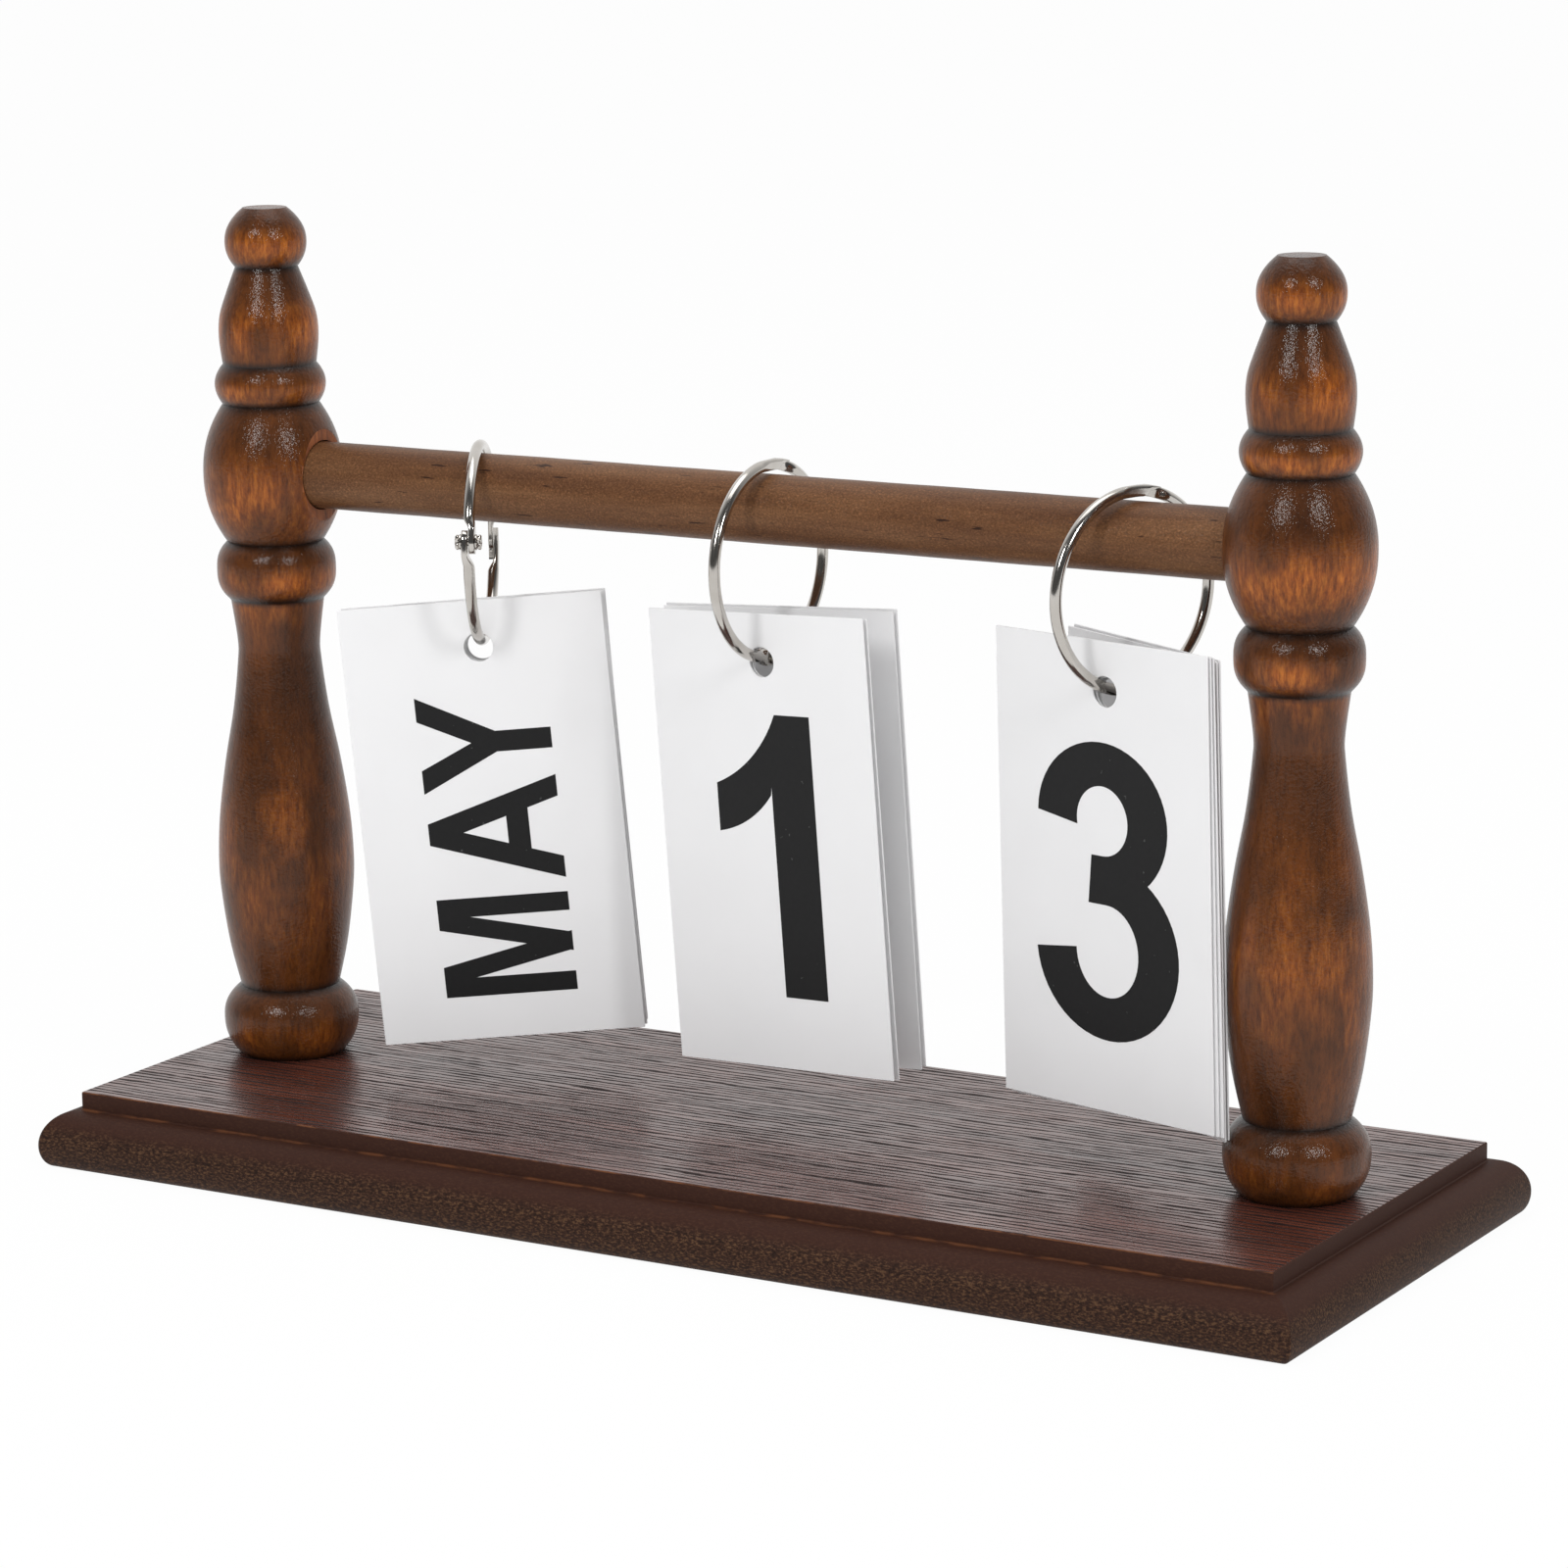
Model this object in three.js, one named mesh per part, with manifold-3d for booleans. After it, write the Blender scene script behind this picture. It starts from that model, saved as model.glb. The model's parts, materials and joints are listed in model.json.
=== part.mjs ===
// Perpetual desk calendar. A stained wooden stand, of a moulded plinth, two turned posts and a
// crossbar, carries three hinged wire rings: one for the month cards and one for each digit of the day.
//
// Millimetres. X runs along the stand, -Y is the front, +Z is up. The origin is on the floor under
// the middle of the plinth.
//
// A ring has a frame of its own: X is the ring's normal, Y and Z are the plane of the wire. A place
// on the wire is an angle in degrees, 0 at the bottom, growing towards the front.

import * as THREE from "three";
import { mergeVertices } from "three/addons/utils/BufferGeometryUtils.js";
import Module from "manifold-3d";

const wasm = await Module();
wasm.setup();

// Clearances
const seatGap = 0.3; // between a piece and what it rests on or sits in
const hingeGap = 0.2; // between the two lugs of a ring, and round its rivet
const overrun = 2; // how far a cutter passes the face that it cuts

// Cards: stiff plastic, punched once, hung on the ring
const card = {
  width: 58.5,
  height: 99.5,
  thickness: 0.4,
  holeDiameter: 6.5,
  holeInset: 10.5, // hole centre below the top edge
  holeOffset: 1.2, // hole centre to the right of the card's middle
  floorGap: 9.3, // the lowest card's bottom edge above the plinth
};

// Rings: book rings of two half wires, riveted at one end and clasped at the other
const ring = {
  wireDiameter: 2.5,
  alongClasp: 20.6, // centre of the ring to centre of the wire, on the line from hinge to clasp
  acrossClasp: 21.4, // the same, square to that line
  lugWidth: 3.5,
  lugLength: 3, // flattened length, from the rivet's centre
  shoulder: 2.2, // round wire starts this far from the rivet's centre
  claspWidth: 3.4,
  claspLength: 7, // the stretch where both halves lie side by side
  claspRoot: 0.8, // how far a clasp plate runs into its own wire
};
const rivet = {
  shankRadius: 0.8,
  headRadius: 1.7,
  headThickness: 1.2,
};

// Stand
const bar = {
  radius: 7.5,
  seatDepth: 9, // how far it enters each post
};
const post = {
  ballRadius: 15.65, // the largest radius of the turning
  faceDepth: 1.95, // the flat cut on the ball, where the bar enters
};
const plinth = {
  width: 121,
  thickness: 16.5,
  edgeInset: 7.2, // top face inside the widest line of the edge
  ledge: 0.6, // flat bottom of the routed step
  stepDepth: 2.7,
  widestHeight: 4.8, // height of the widest line of the edge
  footRadiusIn: 2.6, // the underside's edge inside the widest line
  cornerRadius: 1.6,
  postMargin: 4.15, // from a post's largest radius to the edge of the top face
};
const rowGap = 46.2; // what three cards side by side leave of the clear length between the posts

// Screws that hold the posts from beneath
const screw = {
  headRadius: 4.2,
  shankRadius: 2.1,
  headHeight: 2.4,
  length: 42,
  tipLength: 5,
};

// Turning of a post, from the plinth up. Each share of height is of the post's height, and each share
// of radius is of its largest radius. A crown is a bead or ball: it starts, crests and ends, and
// fullness 2 makes it an arc while more makes it squarer. A sweep is a smooth curve through its points.
const ballCrestShare = 0.6933;
const turningShares = [
  { form: "crown", start: [0, 0.754], crest: [0.045, 0.978], end: [0.083, 0.716], fullness: 2.4, cuts: 4 },
  {
    form: "sweep",
    points: [
      [0.083, 0.716],
      [0.135, 0.859],
      [0.197, 0.958],
      [0.238, 0.978],
      [0.29, 0.939],
      [0.352, 0.831],
      [0.415, 0.687],
      [0.472, 0.601],
      [0.497, 0.594],
      [0.544, 0.668],
    ],
    cuts: 16,
  },
  { form: "crown", start: [0.547, 0.7], crest: [0.58, 0.853], end: [0.613, 0.69], fullness: 2.8, cuts: 4 },
  {
    form: "crown",
    start: [0.613, 0.69],
    crest: [ballCrestShare, 1],
    end: [0.774, 0.69],
    fullness: 2.2,
    cuts: 5,
  },
  { form: "crown", start: [0.774, 0.69], crest: [0.797, 0.792], end: [0.82, 0.668], fullness: 2, cuts: 3 },
  {
    form: "sweep",
    points: [
      [0.82, 0.668],
      [0.85, 0.709],
      [0.876, 0.69],
      [0.902, 0.588],
      [0.932, 0.447],
    ],
    cuts: 7,
  },
  { form: "crown", start: [0.932, 0.447], crest: [0.961, 0.581], end: [1, 0.313], fullness: 2.2, cuts: 4 },
];

// Places of the first two rings, as their share of the distance from the middle to a post
const deckShares = { month: -0.5605, tens: 0.0206 };
const unitsGap = 18; // from the units ring to the right post, past a third of a card

// How the rings and the cards hang, in degrees. A ring's yaw is how far it is turned about the
// vertical, and its hinge and clasp are places on the wire. One half of a ring hangs on the bar and the
// other opens. A card's wire angle is its place on the wire, and its turn is its angle to the ring about
// the vertical. Lean tips its bottom edge back and roll swings it sideways. Its slip is how far the hole
// has slipped sideways on the wire, as a share of the hole's play.
const decks = [
  {
    name: "month",
    yawAngle: 26.1,
    hingeAngle: 99,
    claspAngle: -81,
    hungHalf: "upper",
    openHalf: "lower",
    cards: [
      { wireAngle: 14, turnAngle: 0.5, leanAngle: 1.7, rollAngle: -4.4, slipShare: -0.3 },
      { wireAngle: 10.3, turnAngle: 1.2, leanAngle: 2, rollAngle: -4.2, slipShare: -0.3 },
      { wireAngle: 6.6, turnAngle: 1.9, leanAngle: 2.3, rollAngle: -4.5, slipShare: -0.3 },
      { wireAngle: 2.9, turnAngle: 2.6, leanAngle: 2.7, rollAngle: -4.1, slipShare: -0.3 },
      { wireAngle: -0.8, turnAngle: 3.4, leanAngle: 3.1, rollAngle: -4.4, slipShare: -0.3 },
      { wireAngle: -4.5, turnAngle: 4.2, leanAngle: 3.5, rollAngle: -3.9, slipShare: -0.3 },
    ],
  },
  {
    name: "tens",
    yawAngle: -2,
    hingeAngle: 2,
    claspAngle: -172,
    hungHalf: "front",
    openHalf: "rear",
    cards: [
      { wireAngle: 15.2, turnAngle: -6.1, leanAngle: 1, rollAngle: -3.3, slipShare: 0.8 },
      { wireAngle: 11.8, turnAngle: -5.5, leanAngle: 1.4, rollAngle: -3.2, slipShare: 0.8 },
      { wireAngle: -14.5, turnAngle: -0.3, leanAngle: 0.2, rollAngle: -3.4, slipShare: 0.1 },
      { wireAngle: -18, turnAngle: 0.2, leanAngle: 0.6, rollAngle: -3.2, slipShare: 0.1 },
    ],
  },
  {
    name: "units",
    yawAngle: -20,
    hingeAngle: 2,
    claspAngle: -172,
    hungHalf: "front",
    openHalf: "rear",
    cards: [
      { wireAngle: 25, turnAngle: 4.4, leanAngle: 0.8, rollAngle: -0.5, slipShare: 0.8 },
      { wireAngle: 21.9, turnAngle: 4.1, leanAngle: 0.7, rollAngle: -0.9, slipShare: 0.8 },
      { wireAngle: 18.8, turnAngle: 3.7, leanAngle: 0.6, rollAngle: -1.3, slipShare: 0.8 },
      { wireAngle: -8.5, turnAngle: -12, leanAngle: 0.5, rollAngle: -1.4, slipShare: 0.2 },
      { wireAngle: -11.8, turnAngle: -12.8, leanAngle: 0.6, rollAngle: -1.4, slipShare: 0.2 },
    ],
  },
];

// Counts of facets
const postFacets = 24;
const barFacets = 32;
const wireFacets = 10;
const wireSteps = 26;
const smallFacets = 16;

// Sizes that follow from the ones above
const wireRadius = ring.wireDiameter / 2;
const holeRadius = card.holeDiameter / 2;
const hangDrop = holeRadius - wireRadius - seatGap; // hole centre below the wire's centre
const wireRest = bar.radius + seatGap + wireRadius; // bar's centre to a plain wire lying on it
const claspRest = bar.radius + seatGap + ring.claspWidth / 2; // the same for a clasp
const monthHang = 2 * ring.acrossClasp - wireRest; // bar's centre to the bottom of the month wire
const digitHang = 2 * ring.alongClasp - claspRest;
const cardBelowHole = card.height - card.holeInset;
const barHeight =
  plinth.thickness + card.floorGap + cardBelowHole + hangDrop + Math.max(monthHang, digitHang);
const postHeight = (barHeight - plinth.thickness) / ballCrestShare;
const postPlace = (3 * card.width + rowGap) / 2 + post.ballRadius; // middle of the stand to a post
const postFace = post.ballRadius - post.faceDepth; // post's axis to the flat on its ball
const deckPlaces = {
  month: deckShares.month * postPlace,
  tens: deckShares.tens * postPlace,
  units: postPlace - card.width / 3 - unitsGap,
};
const plinthLength = 2 * (postPlace + post.ballRadius + plinth.postMargin + plinth.edgeInset);
const plateThickness = (ring.wireDiameter - hingeGap) / 2;

const material = (color, roughness, metalness = 0) =>
  new THREE.MeshStandardMaterial({ color, roughness, metalness });
const finishes = {
  plinth: () => material(0x4a2a20, 0.45),
  post: () => material(0x6e3f25, 0.3),
  bar: () => material(0x6b4630, 0.5),
  wire: () => material(0xc9c9c6, 0.22, 1),
  screw: () => material(0x9a968c, 0.4, 1),
  card: () => material(0xf4f4f4, 0.55),
};

// Closed three.js geometry to a solid that can be joined and cut, and back
function toSolid(geometry) {
  const bare = geometry.clone();
  bare.deleteAttribute("normal");
  bare.deleteAttribute("uv");
  const merged = mergeVertices(bare);
  return new wasm.Manifold(
    new wasm.Mesh({
      numProp: 3,
      vertProperties: new Float32Array(merged.attributes.position.array),
      triVerts: new Uint32Array(merged.index.array),
    }),
  );
}

function toGeometry(solid) {
  const mesh = solid.getMesh();
  const geometry = new THREE.BufferGeometry();
  geometry.setAttribute("position", new THREE.BufferAttribute(mesh.vertProperties, 3));
  geometry.setIndex(new THREE.BufferAttribute(mesh.triVerts, 1));
  geometry.computeVertexNormals();
  return geometry;
}

function named(name, geometry, finish) {
  const mesh = new THREE.Mesh(geometry, finish());
  mesh.name = name;
  return mesh;
}

// Solid of revolution about Z, from (radius, height) points that start and end on the axis
function turned(points, facets) {
  return new THREE.LatheGeometry(points, facets).rotateX(Math.PI / 2);
}

// Rounded rectangle with corners of the same point count at any size, so that outlines can be stacked
function roundedOutline(halfLength, halfWidth, radius, cornerSteps) {
  const corners = [
    [1, 1],
    [-1, 1],
    [-1, -1],
    [1, -1],
  ];
  return corners.flatMap(([sideX, sideY], quarter) =>
    Array.from({ length: cornerSteps + 1 }, (_, step) => {
      const angle = (quarter + step / cornerSteps) * (Math.PI / 2);
      return new THREE.Vector2(
        sideX * (halfLength - radius) + radius * Math.cos(angle),
        sideY * (halfWidth - radius) + radius * Math.sin(angle),
      );
    }),
  );
}

// Skin over outlines stacked in Z, closed at both ends
function stacked(layers) {
  const count = layers[0].outline.length;
  const positions = layers.flatMap(({ outline, z }) => outline.flatMap((point) => [point.x, point.y, z]));
  const faces = [];
  layers.slice(1).forEach((_, layer) => {
    for (let i = 0; i < count; i += 1) {
      const next = (i + 1) % count;
      const low = layer * count;
      const high = low + count;
      faces.push(low + i, low + next, high + next);
      faces.push(low + i, high + next, high + i);
    }
  });
  const top = (layers.length - 1) * count;
  for (let i = 1; i < count - 1; i += 1) {
    faces.push(0, i + 1, i);
    faces.push(top, top + i, top + i + 1);
  }
  const geometry = new THREE.BufferGeometry();
  geometry.setAttribute("position", new THREE.Float32BufferAttribute(positions, 3));
  geometry.setIndex(faces);
  return geometry;
}

// Edge of the plinth from the floor up, as [inset from the widest line, height]: a small round
// underneath, a quarter-round, the ledge of the routed step, and its upright
function plinthEdge(steps) {
  const ovoloInset = plinth.edgeInset - plinth.ledge;
  const ovoloTop = plinth.thickness - plinth.stepDepth;
  const under = Array.from({ length: steps + 1 }, (_, step) => {
    const angle = (step / steps) * (Math.PI / 2);
    return [
      plinth.footRadiusIn * (1 - Math.sin(angle)),
      plinth.widestHeight * (1 - Math.cos(angle)),
    ];
  });
  const ovolo = Array.from({ length: 2 * steps }, (_, step) => {
    const angle = ((step + 1) / (2 * steps)) * (Math.PI / 2);
    return [
      ovoloInset * (1 - Math.cos(angle)),
      plinth.widestHeight + (ovoloTop - plinth.widestHeight) * Math.sin(angle),
    ];
  });
  return [...under, ...ovolo, [plinth.edgeInset, ovoloTop], [plinth.edgeInset, plinth.thickness]];
}

function screwHole() {
  const radius = screw.shankRadius + seatGap;
  const sink = screw.headRadius + seatGap;
  return turned(
    [
      new THREE.Vector2(0, -overrun),
      new THREE.Vector2(sink, -overrun),
      new THREE.Vector2(sink, seatGap),
      new THREE.Vector2(radius, seatGap + screw.headHeight),
      new THREE.Vector2(radius, plinth.thickness + overrun),
      new THREE.Vector2(0, plinth.thickness + overrun),
    ],
    smallFacets,
  );
}

function buildPlinth() {
  const layers = plinthEdge(4).map(([inset, z]) => ({
    outline: roundedOutline(plinthLength / 2 - inset, plinth.width / 2 - inset, plinth.cornerRadius, 3),
    z,
  }));
  const holes = [-1, 1].map((side) => toSolid(screwHole().translate(side * postPlace, 0, 0)));
  const solid = holes.reduce((body, hole) => body.subtract(hole), toSolid(stacked(layers)));
  return named("base_plinth", toGeometry(solid), finishes.plinth);
}

function buildScrew() {
  const points = [
    new THREE.Vector2(0, seatGap),
    new THREE.Vector2(screw.headRadius, seatGap),
    new THREE.Vector2(screw.shankRadius, 2 * seatGap + screw.headHeight),
    new THREE.Vector2(screw.shankRadius, screw.length - screw.tipLength),
    new THREE.Vector2(0, screw.length),
  ];
  return turned(points, smallFacets);
}

// One crown of the turning: the radius falls away from the crest to the value at either end
function crownPoints({ start, crest, end, fullness, cuts }) {
  const side = (edge, from, to) =>
    Array.from({ length: cuts }, (_, step) => {
      const away = from + ((to - from) * step) / cuts;
      return [
        crest[0] + (edge[0] - crest[0]) * away,
        crest[1] + (edge[1] - crest[1]) * away ** fullness,
      ];
    });
  return [...side(start, 1, 0), ...side(end, 0, 1), end];
}

function sweepPoints({ points, cuts }) {
  const curve = new THREE.SplineCurve(points.map(([height, radius]) => new THREE.Vector2(height, radius)));
  return curve.getPoints(cuts).map((point) => [point.x, point.y]);
}

// The post's outline from the pilot hole, across the foot, up the turning and over the flat top
function postOutline() {
  const pilotRadius = screw.shankRadius + seatGap;
  const pilotDepth = screw.length - plinth.thickness + 2 * seatGap;
  const turning = turningShares
    .flatMap((turn) => (turn.form === "crown" ? crownPoints(turn) : sweepPoints(turn)))
    .filter(([height], i, all) => i === 0 || height > all[i - 1][0]);
  return [
    new THREE.Vector2(0, pilotDepth),
    new THREE.Vector2(pilotRadius, pilotDepth),
    new THREE.Vector2(pilotRadius, 0),
    ...turning.map(([height, radius]) => new THREE.Vector2(radius * post.ballRadius, height * postHeight)),
    new THREE.Vector2(0, postHeight),
  ];
}

// A post with the flat on its ball and the blind bore for the bar, both on its +X side
function buildPost() {
  const crest = postHeight * ballCrestShare;
  const bore = new THREE.CylinderGeometry(
    bar.radius + seatGap,
    bar.radius + seatGap,
    bar.seatDepth + post.faceDepth + overrun,
    barFacets,
  ).rotateZ(Math.PI / 2);
  bore.translate(postFace - bar.seatDepth + (bar.seatDepth + post.faceDepth + overrun) / 2, 0, crest);
  const facing = new THREE.BoxGeometry(
    post.faceDepth + overrun,
    2 * post.ballRadius,
    2 * post.ballRadius,
  ).translate(postFace + (post.faceDepth + overrun) / 2, 0, crest);
  return toSolid(turned(postOutline(), postFacets)).subtract(toSolid(facing)).subtract(toSolid(bore));
}

function buildStand() {
  const stand = new THREE.Group();
  stand.add(buildPlinth());
  const postShape = toGeometry(buildPost());
  [
    ["left", -1],
    ["right", 1],
  ].forEach(([side, sign]) => {
    const upright = named(`${side}_post`, postShape.clone(), finishes.post);
    upright.position.set(sign * postPlace, 0, plinth.thickness);
    upright.rotation.z = sign > 0 ? Math.PI : 0;
    stand.add(upright);
    const fixing = named(`${side}_post_screw`, buildScrew(), finishes.screw);
    fixing.position.x = sign * postPlace;
    stand.add(fixing);
  });
  const barLength = 2 * (postPlace - postFace + bar.seatDepth - seatGap);
  const crossbar = named(
    "crossbar",
    new THREE.CylinderGeometry(bar.radius, bar.radius, barLength, barFacets).rotateZ(Math.PI / 2),
    finishes.bar,
  );
  crossbar.position.z = barHeight;
  stand.add(crossbar);
  return stand;
}

// The oval that a ring's wire follows, in the ring's own frame
class WireArc extends THREE.Curve {
  constructor(oval, from, to) {
    super();
    this.oval = oval;
    this.from = from;
    this.to = to;
  }

  getPoint(share) {
    return wirePoint(this.oval, this.from + (this.to - this.from) * share);
  }
}

function wirePoint(oval, arc, outward = 0) {
  const angle = THREE.MathUtils.degToRad(arc);
  return new THREE.Vector3(
    0,
    -(oval.across + outward) * Math.sin(angle),
    -(oval.high + outward) * Math.cos(angle),
  );
}

// Degrees of the oval that a length of wire takes up
function arcOf(length) {
  return THREE.MathUtils.radToDeg((2 * length) / (ring.alongClasp + ring.acrossClasp));
}

// Flattened wire: a band along the oval, on one side of the ring's plane
function plate(oval, from, to, width, side) {
  const steps = 4;
  const edge = (outward, start, end) =>
    Array.from({ length: steps + 1 }, (_, step) => {
      const point = wirePoint(oval, start + ((end - start) * step) / steps, outward);
      return new THREE.Vector2(point.y, point.z);
    });
  const outline = new THREE.Shape([...edge(width / 2, from, to), ...edge(-width / 2, to, from)]);
  return toSolid(acrossRing(outline, plateThickness, side));
}

// Extrudes an outline in the ring's plane along the ring's normal, on one side of that plane
function acrossRing(outline, thickness, side) {
  const ringPlane = new THREE.Matrix4().makeBasis(
    new THREE.Vector3(0, 1, 0),
    new THREE.Vector3(0, 0, 1),
    new THREE.Vector3(1, 0, 0),
  );
  const flat = new THREE.ExtrudeGeometry(outline, {
    depth: thickness,
    bevelEnabled: false,
    curveSegments: smallFacets / 2,
  });
  const start = side > 0 ? hingeGap / 2 : -hingeGap / 2 - thickness;
  return flat.applyMatrix4(ringPlane).translate(start, 0, 0);
}

// One half of a ring, from its lug at the hinge round to its clasp plate. The lug and the clasp plate
// are half as thick as the wire, so that the other half's lie beside them.
function buildRingHalf(oval, hingeAngle, claspAngle, lugSide, claspSide) {
  const way = Math.sign(claspAngle - hingeAngle);
  const wireStart = hingeAngle + way * arcOf(ring.shoulder);
  const wireEnd = claspAngle - way * arcOf(ring.claspLength / 2 + seatGap);
  const section = new THREE.Shape().absarc(0, 0, wireRadius, 0, 2 * Math.PI);
  const wire = new THREE.ExtrudeGeometry(section, {
    steps: wireSteps,
    curveSegments: wireFacets / 2,
    bevelEnabled: false,
    extrudePath: new WireArc(oval, wireStart, wireEnd),
  });
  const pivot = wirePoint(oval, hingeAngle);
  const eye = new THREE.Shape().absarc(pivot.y, pivot.z, ring.lugWidth / 2, 0, 2 * Math.PI);
  const hole = new THREE.CylinderGeometry(
    rivet.shankRadius + hingeGap,
    rivet.shankRadius + hingeGap,
    ring.wireDiameter + 2 * overrun,
    smallFacets,
  )
    .rotateZ(Math.PI / 2)
    .translate(0, pivot.y, pivot.z);
  const lug = plate(oval, hingeAngle, hingeAngle + way * arcOf(ring.lugLength), ring.lugWidth, lugSide);
  const clasp = plate(
    oval,
    wireEnd - way * arcOf(ring.claspRoot),
    claspAngle + way * arcOf(ring.claspLength / 2),
    ring.claspWidth,
    claspSide,
  );
  return toSolid(wire)
    .add(lug)
    .add(toSolid(acrossRing(eye, plateThickness, lugSide)))
    .add(clasp)
    .subtract(toSolid(hole));
}

function buildRivet(oval, hingeAngle) {
  const headFoot = wireRadius + hingeGap;
  const headTop = headFoot + rivet.headThickness;
  const crown = rivet.headRadius - rivet.headThickness / 2;
  const points = [
    new THREE.Vector2(0, -headTop),
    new THREE.Vector2(crown, -headTop),
    new THREE.Vector2(rivet.headRadius, -headTop + rivet.headThickness / 2),
    new THREE.Vector2(rivet.headRadius, -headFoot),
    new THREE.Vector2(rivet.shankRadius, -headFoot),
    new THREE.Vector2(rivet.shankRadius, headFoot),
    new THREE.Vector2(rivet.headRadius, headFoot),
    new THREE.Vector2(rivet.headRadius, headTop - rivet.headThickness / 2),
    new THREE.Vector2(crown, headTop),
    new THREE.Vector2(0, headTop),
  ];
  const pivot = wirePoint(oval, hingeAngle);
  return turned(points, smallFacets).rotateY(Math.PI / 2).translate(0, pivot.y, pivot.z);
}

// A card with its hole at the origin
function buildCard() {
  const outline = new THREE.Shape();
  const top = card.holeInset;
  const left = -card.width / 2 - card.holeOffset;
  const right = card.width / 2 - card.holeOffset;
  outline.moveTo(left, top - card.height);
  outline.lineTo(right, top - card.height);
  outline.lineTo(right, top);
  outline.lineTo(left, top);
  outline.closePath();
  outline.holes.push(new THREE.Path().absarc(0, 0, holeRadius, 0, 2 * Math.PI, true));
  return new THREE.ExtrudeGeometry(outline, {
    depth: card.thickness,
    bevelEnabled: false,
    curveSegments: smallFacets / 2,
  })
    .rotateX(Math.PI / 2)
    .translate(0, card.thickness / 2, 0);
}

function buildDeck(deck) {
  const clasped = deck.claspAngle < deck.hingeAngle - 175; // clasp at the back, level with the rivet
  const oval = clasped
    ? { across: ring.alongClasp, high: ring.acrossClasp }
    : { across: ring.acrossClasp, high: ring.alongClasp };
  const rest = clasped ? wireRest : claspRest;
  const group = new THREE.Group();
  group.position.set(deckPlaces[deck.name], 0, barHeight + rest - oval.high);
  group.rotation.z = THREE.MathUtils.degToRad(deck.yawAngle);

  const hung = buildRingHalf(oval, deck.hingeAngle, deck.claspAngle + 360, 1, -1);
  const opening = buildRingHalf(oval, deck.hingeAngle, deck.claspAngle, -1, 1);
  group.add(named(`${deck.name}_ring_${deck.hungHalf}_half`, toGeometry(hung), finishes.wire));
  group.add(named(`${deck.name}_ring_${deck.openHalf}_half`, toGeometry(opening), finishes.wire));
  group.add(named(`${deck.name}_ring_rivet`, buildRivet(oval, deck.hingeAngle), finishes.wire));

  deck.cards.forEach(({ wireAngle, turnAngle, leanAngle, rollAngle, slipShare }, i) => {
    const sheet = named(`${deck.name}_card_${i + 1}`, buildCard(), finishes.card);
    sheet.position.copy(wirePoint(oval, wireAngle));
    sheet.position.x = hangDrop * slipShare;
    sheet.position.z -= hangDrop * Math.sqrt(1 - slipShare ** 2);
    sheet.rotation.order = "ZXY";
    sheet.rotation.x = THREE.MathUtils.degToRad(leanAngle);
    sheet.rotation.y = THREE.MathUtils.degToRad(rollAngle);
    sheet.rotation.z = THREE.MathUtils.degToRad(turnAngle);
    group.add(sheet);
  });
  return group;
}

const calendar = new THREE.Group();
calendar.add(buildStand());
decks.forEach((deck) => calendar.add(buildDeck(deck)));

export default calendar;
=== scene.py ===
# Looks of the perpetual desk calendar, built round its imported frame. Metres, with angles in degrees.
import json
import math

import bmesh
import bpy
import numpy as np
from mathutils import Matrix, Vector


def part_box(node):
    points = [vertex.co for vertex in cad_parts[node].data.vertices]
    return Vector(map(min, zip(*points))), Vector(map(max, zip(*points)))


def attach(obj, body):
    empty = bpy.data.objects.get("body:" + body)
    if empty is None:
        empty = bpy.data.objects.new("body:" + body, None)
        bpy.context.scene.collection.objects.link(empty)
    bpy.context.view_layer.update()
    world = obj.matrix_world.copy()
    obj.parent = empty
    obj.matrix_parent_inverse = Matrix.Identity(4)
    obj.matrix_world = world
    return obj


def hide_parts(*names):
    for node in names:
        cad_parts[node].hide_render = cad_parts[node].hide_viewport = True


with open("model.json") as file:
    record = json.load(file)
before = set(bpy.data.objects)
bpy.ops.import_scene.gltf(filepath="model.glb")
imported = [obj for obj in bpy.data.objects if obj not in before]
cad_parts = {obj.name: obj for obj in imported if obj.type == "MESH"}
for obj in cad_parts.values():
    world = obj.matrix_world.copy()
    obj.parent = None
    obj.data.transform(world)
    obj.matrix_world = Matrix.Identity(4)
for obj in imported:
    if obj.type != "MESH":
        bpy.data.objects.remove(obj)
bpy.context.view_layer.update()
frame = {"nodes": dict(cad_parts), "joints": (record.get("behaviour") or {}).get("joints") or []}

MM = 0.001
JOINTS = {joint["name"]: joint for joint in frame["joints"]}

# Counts of facets
TURNED_FACETS = 144
BAR_FACETS = 96
SINK_FACETS = 48
SCREW_FACETS = 24
RIVET_FACETS = 72
WIRE_FACETS = 24
WIRE_SPANS = 260

SHARP_DEGREES = 35  # between two faces, from which their edge is shaded sharp
SAME_PLACE = 0.001 * MM  # nearer than this counts as touching
CUTTER_PAST = 1 * MM  # how far a cutter reaches out of what it cuts
Z_TO_X = Matrix.Rotation(math.pi / 2, 4, "Y")

# The stand: sizes from its solids, then sizes that the frame doesn't hold
plinth_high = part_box("base_plinth")[1]
post_low, post_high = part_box("left_post")
bar_low, bar_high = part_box("crossbar")
BALL_RADIUS = 15.65 * MM
BALL_CREST_SHARE = 0.6933
POST_PLACE = -(post_low.x + BALL_RADIUS)
POST_HEIGHT = post_high.z - plinth_high.z
POST_FACE = 13.7 * MM  # from a post's axis to the flat cut on its ball
BAR_RADIUS = (bar_high.z - bar_low.z) / 2
BAR_HEIGHT = (bar_high.z + bar_low.z) / 2
BAR_SEAT = 9 * MM
SEAT_GAP = 0.3 * MM
TOP_INSET = 7.2 * MM
TOP_ARRIS = 0.35 * MM
LEDGE_DEPTH = 4.1 * MM
WEAR_BAND = 0.3 * MM
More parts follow.
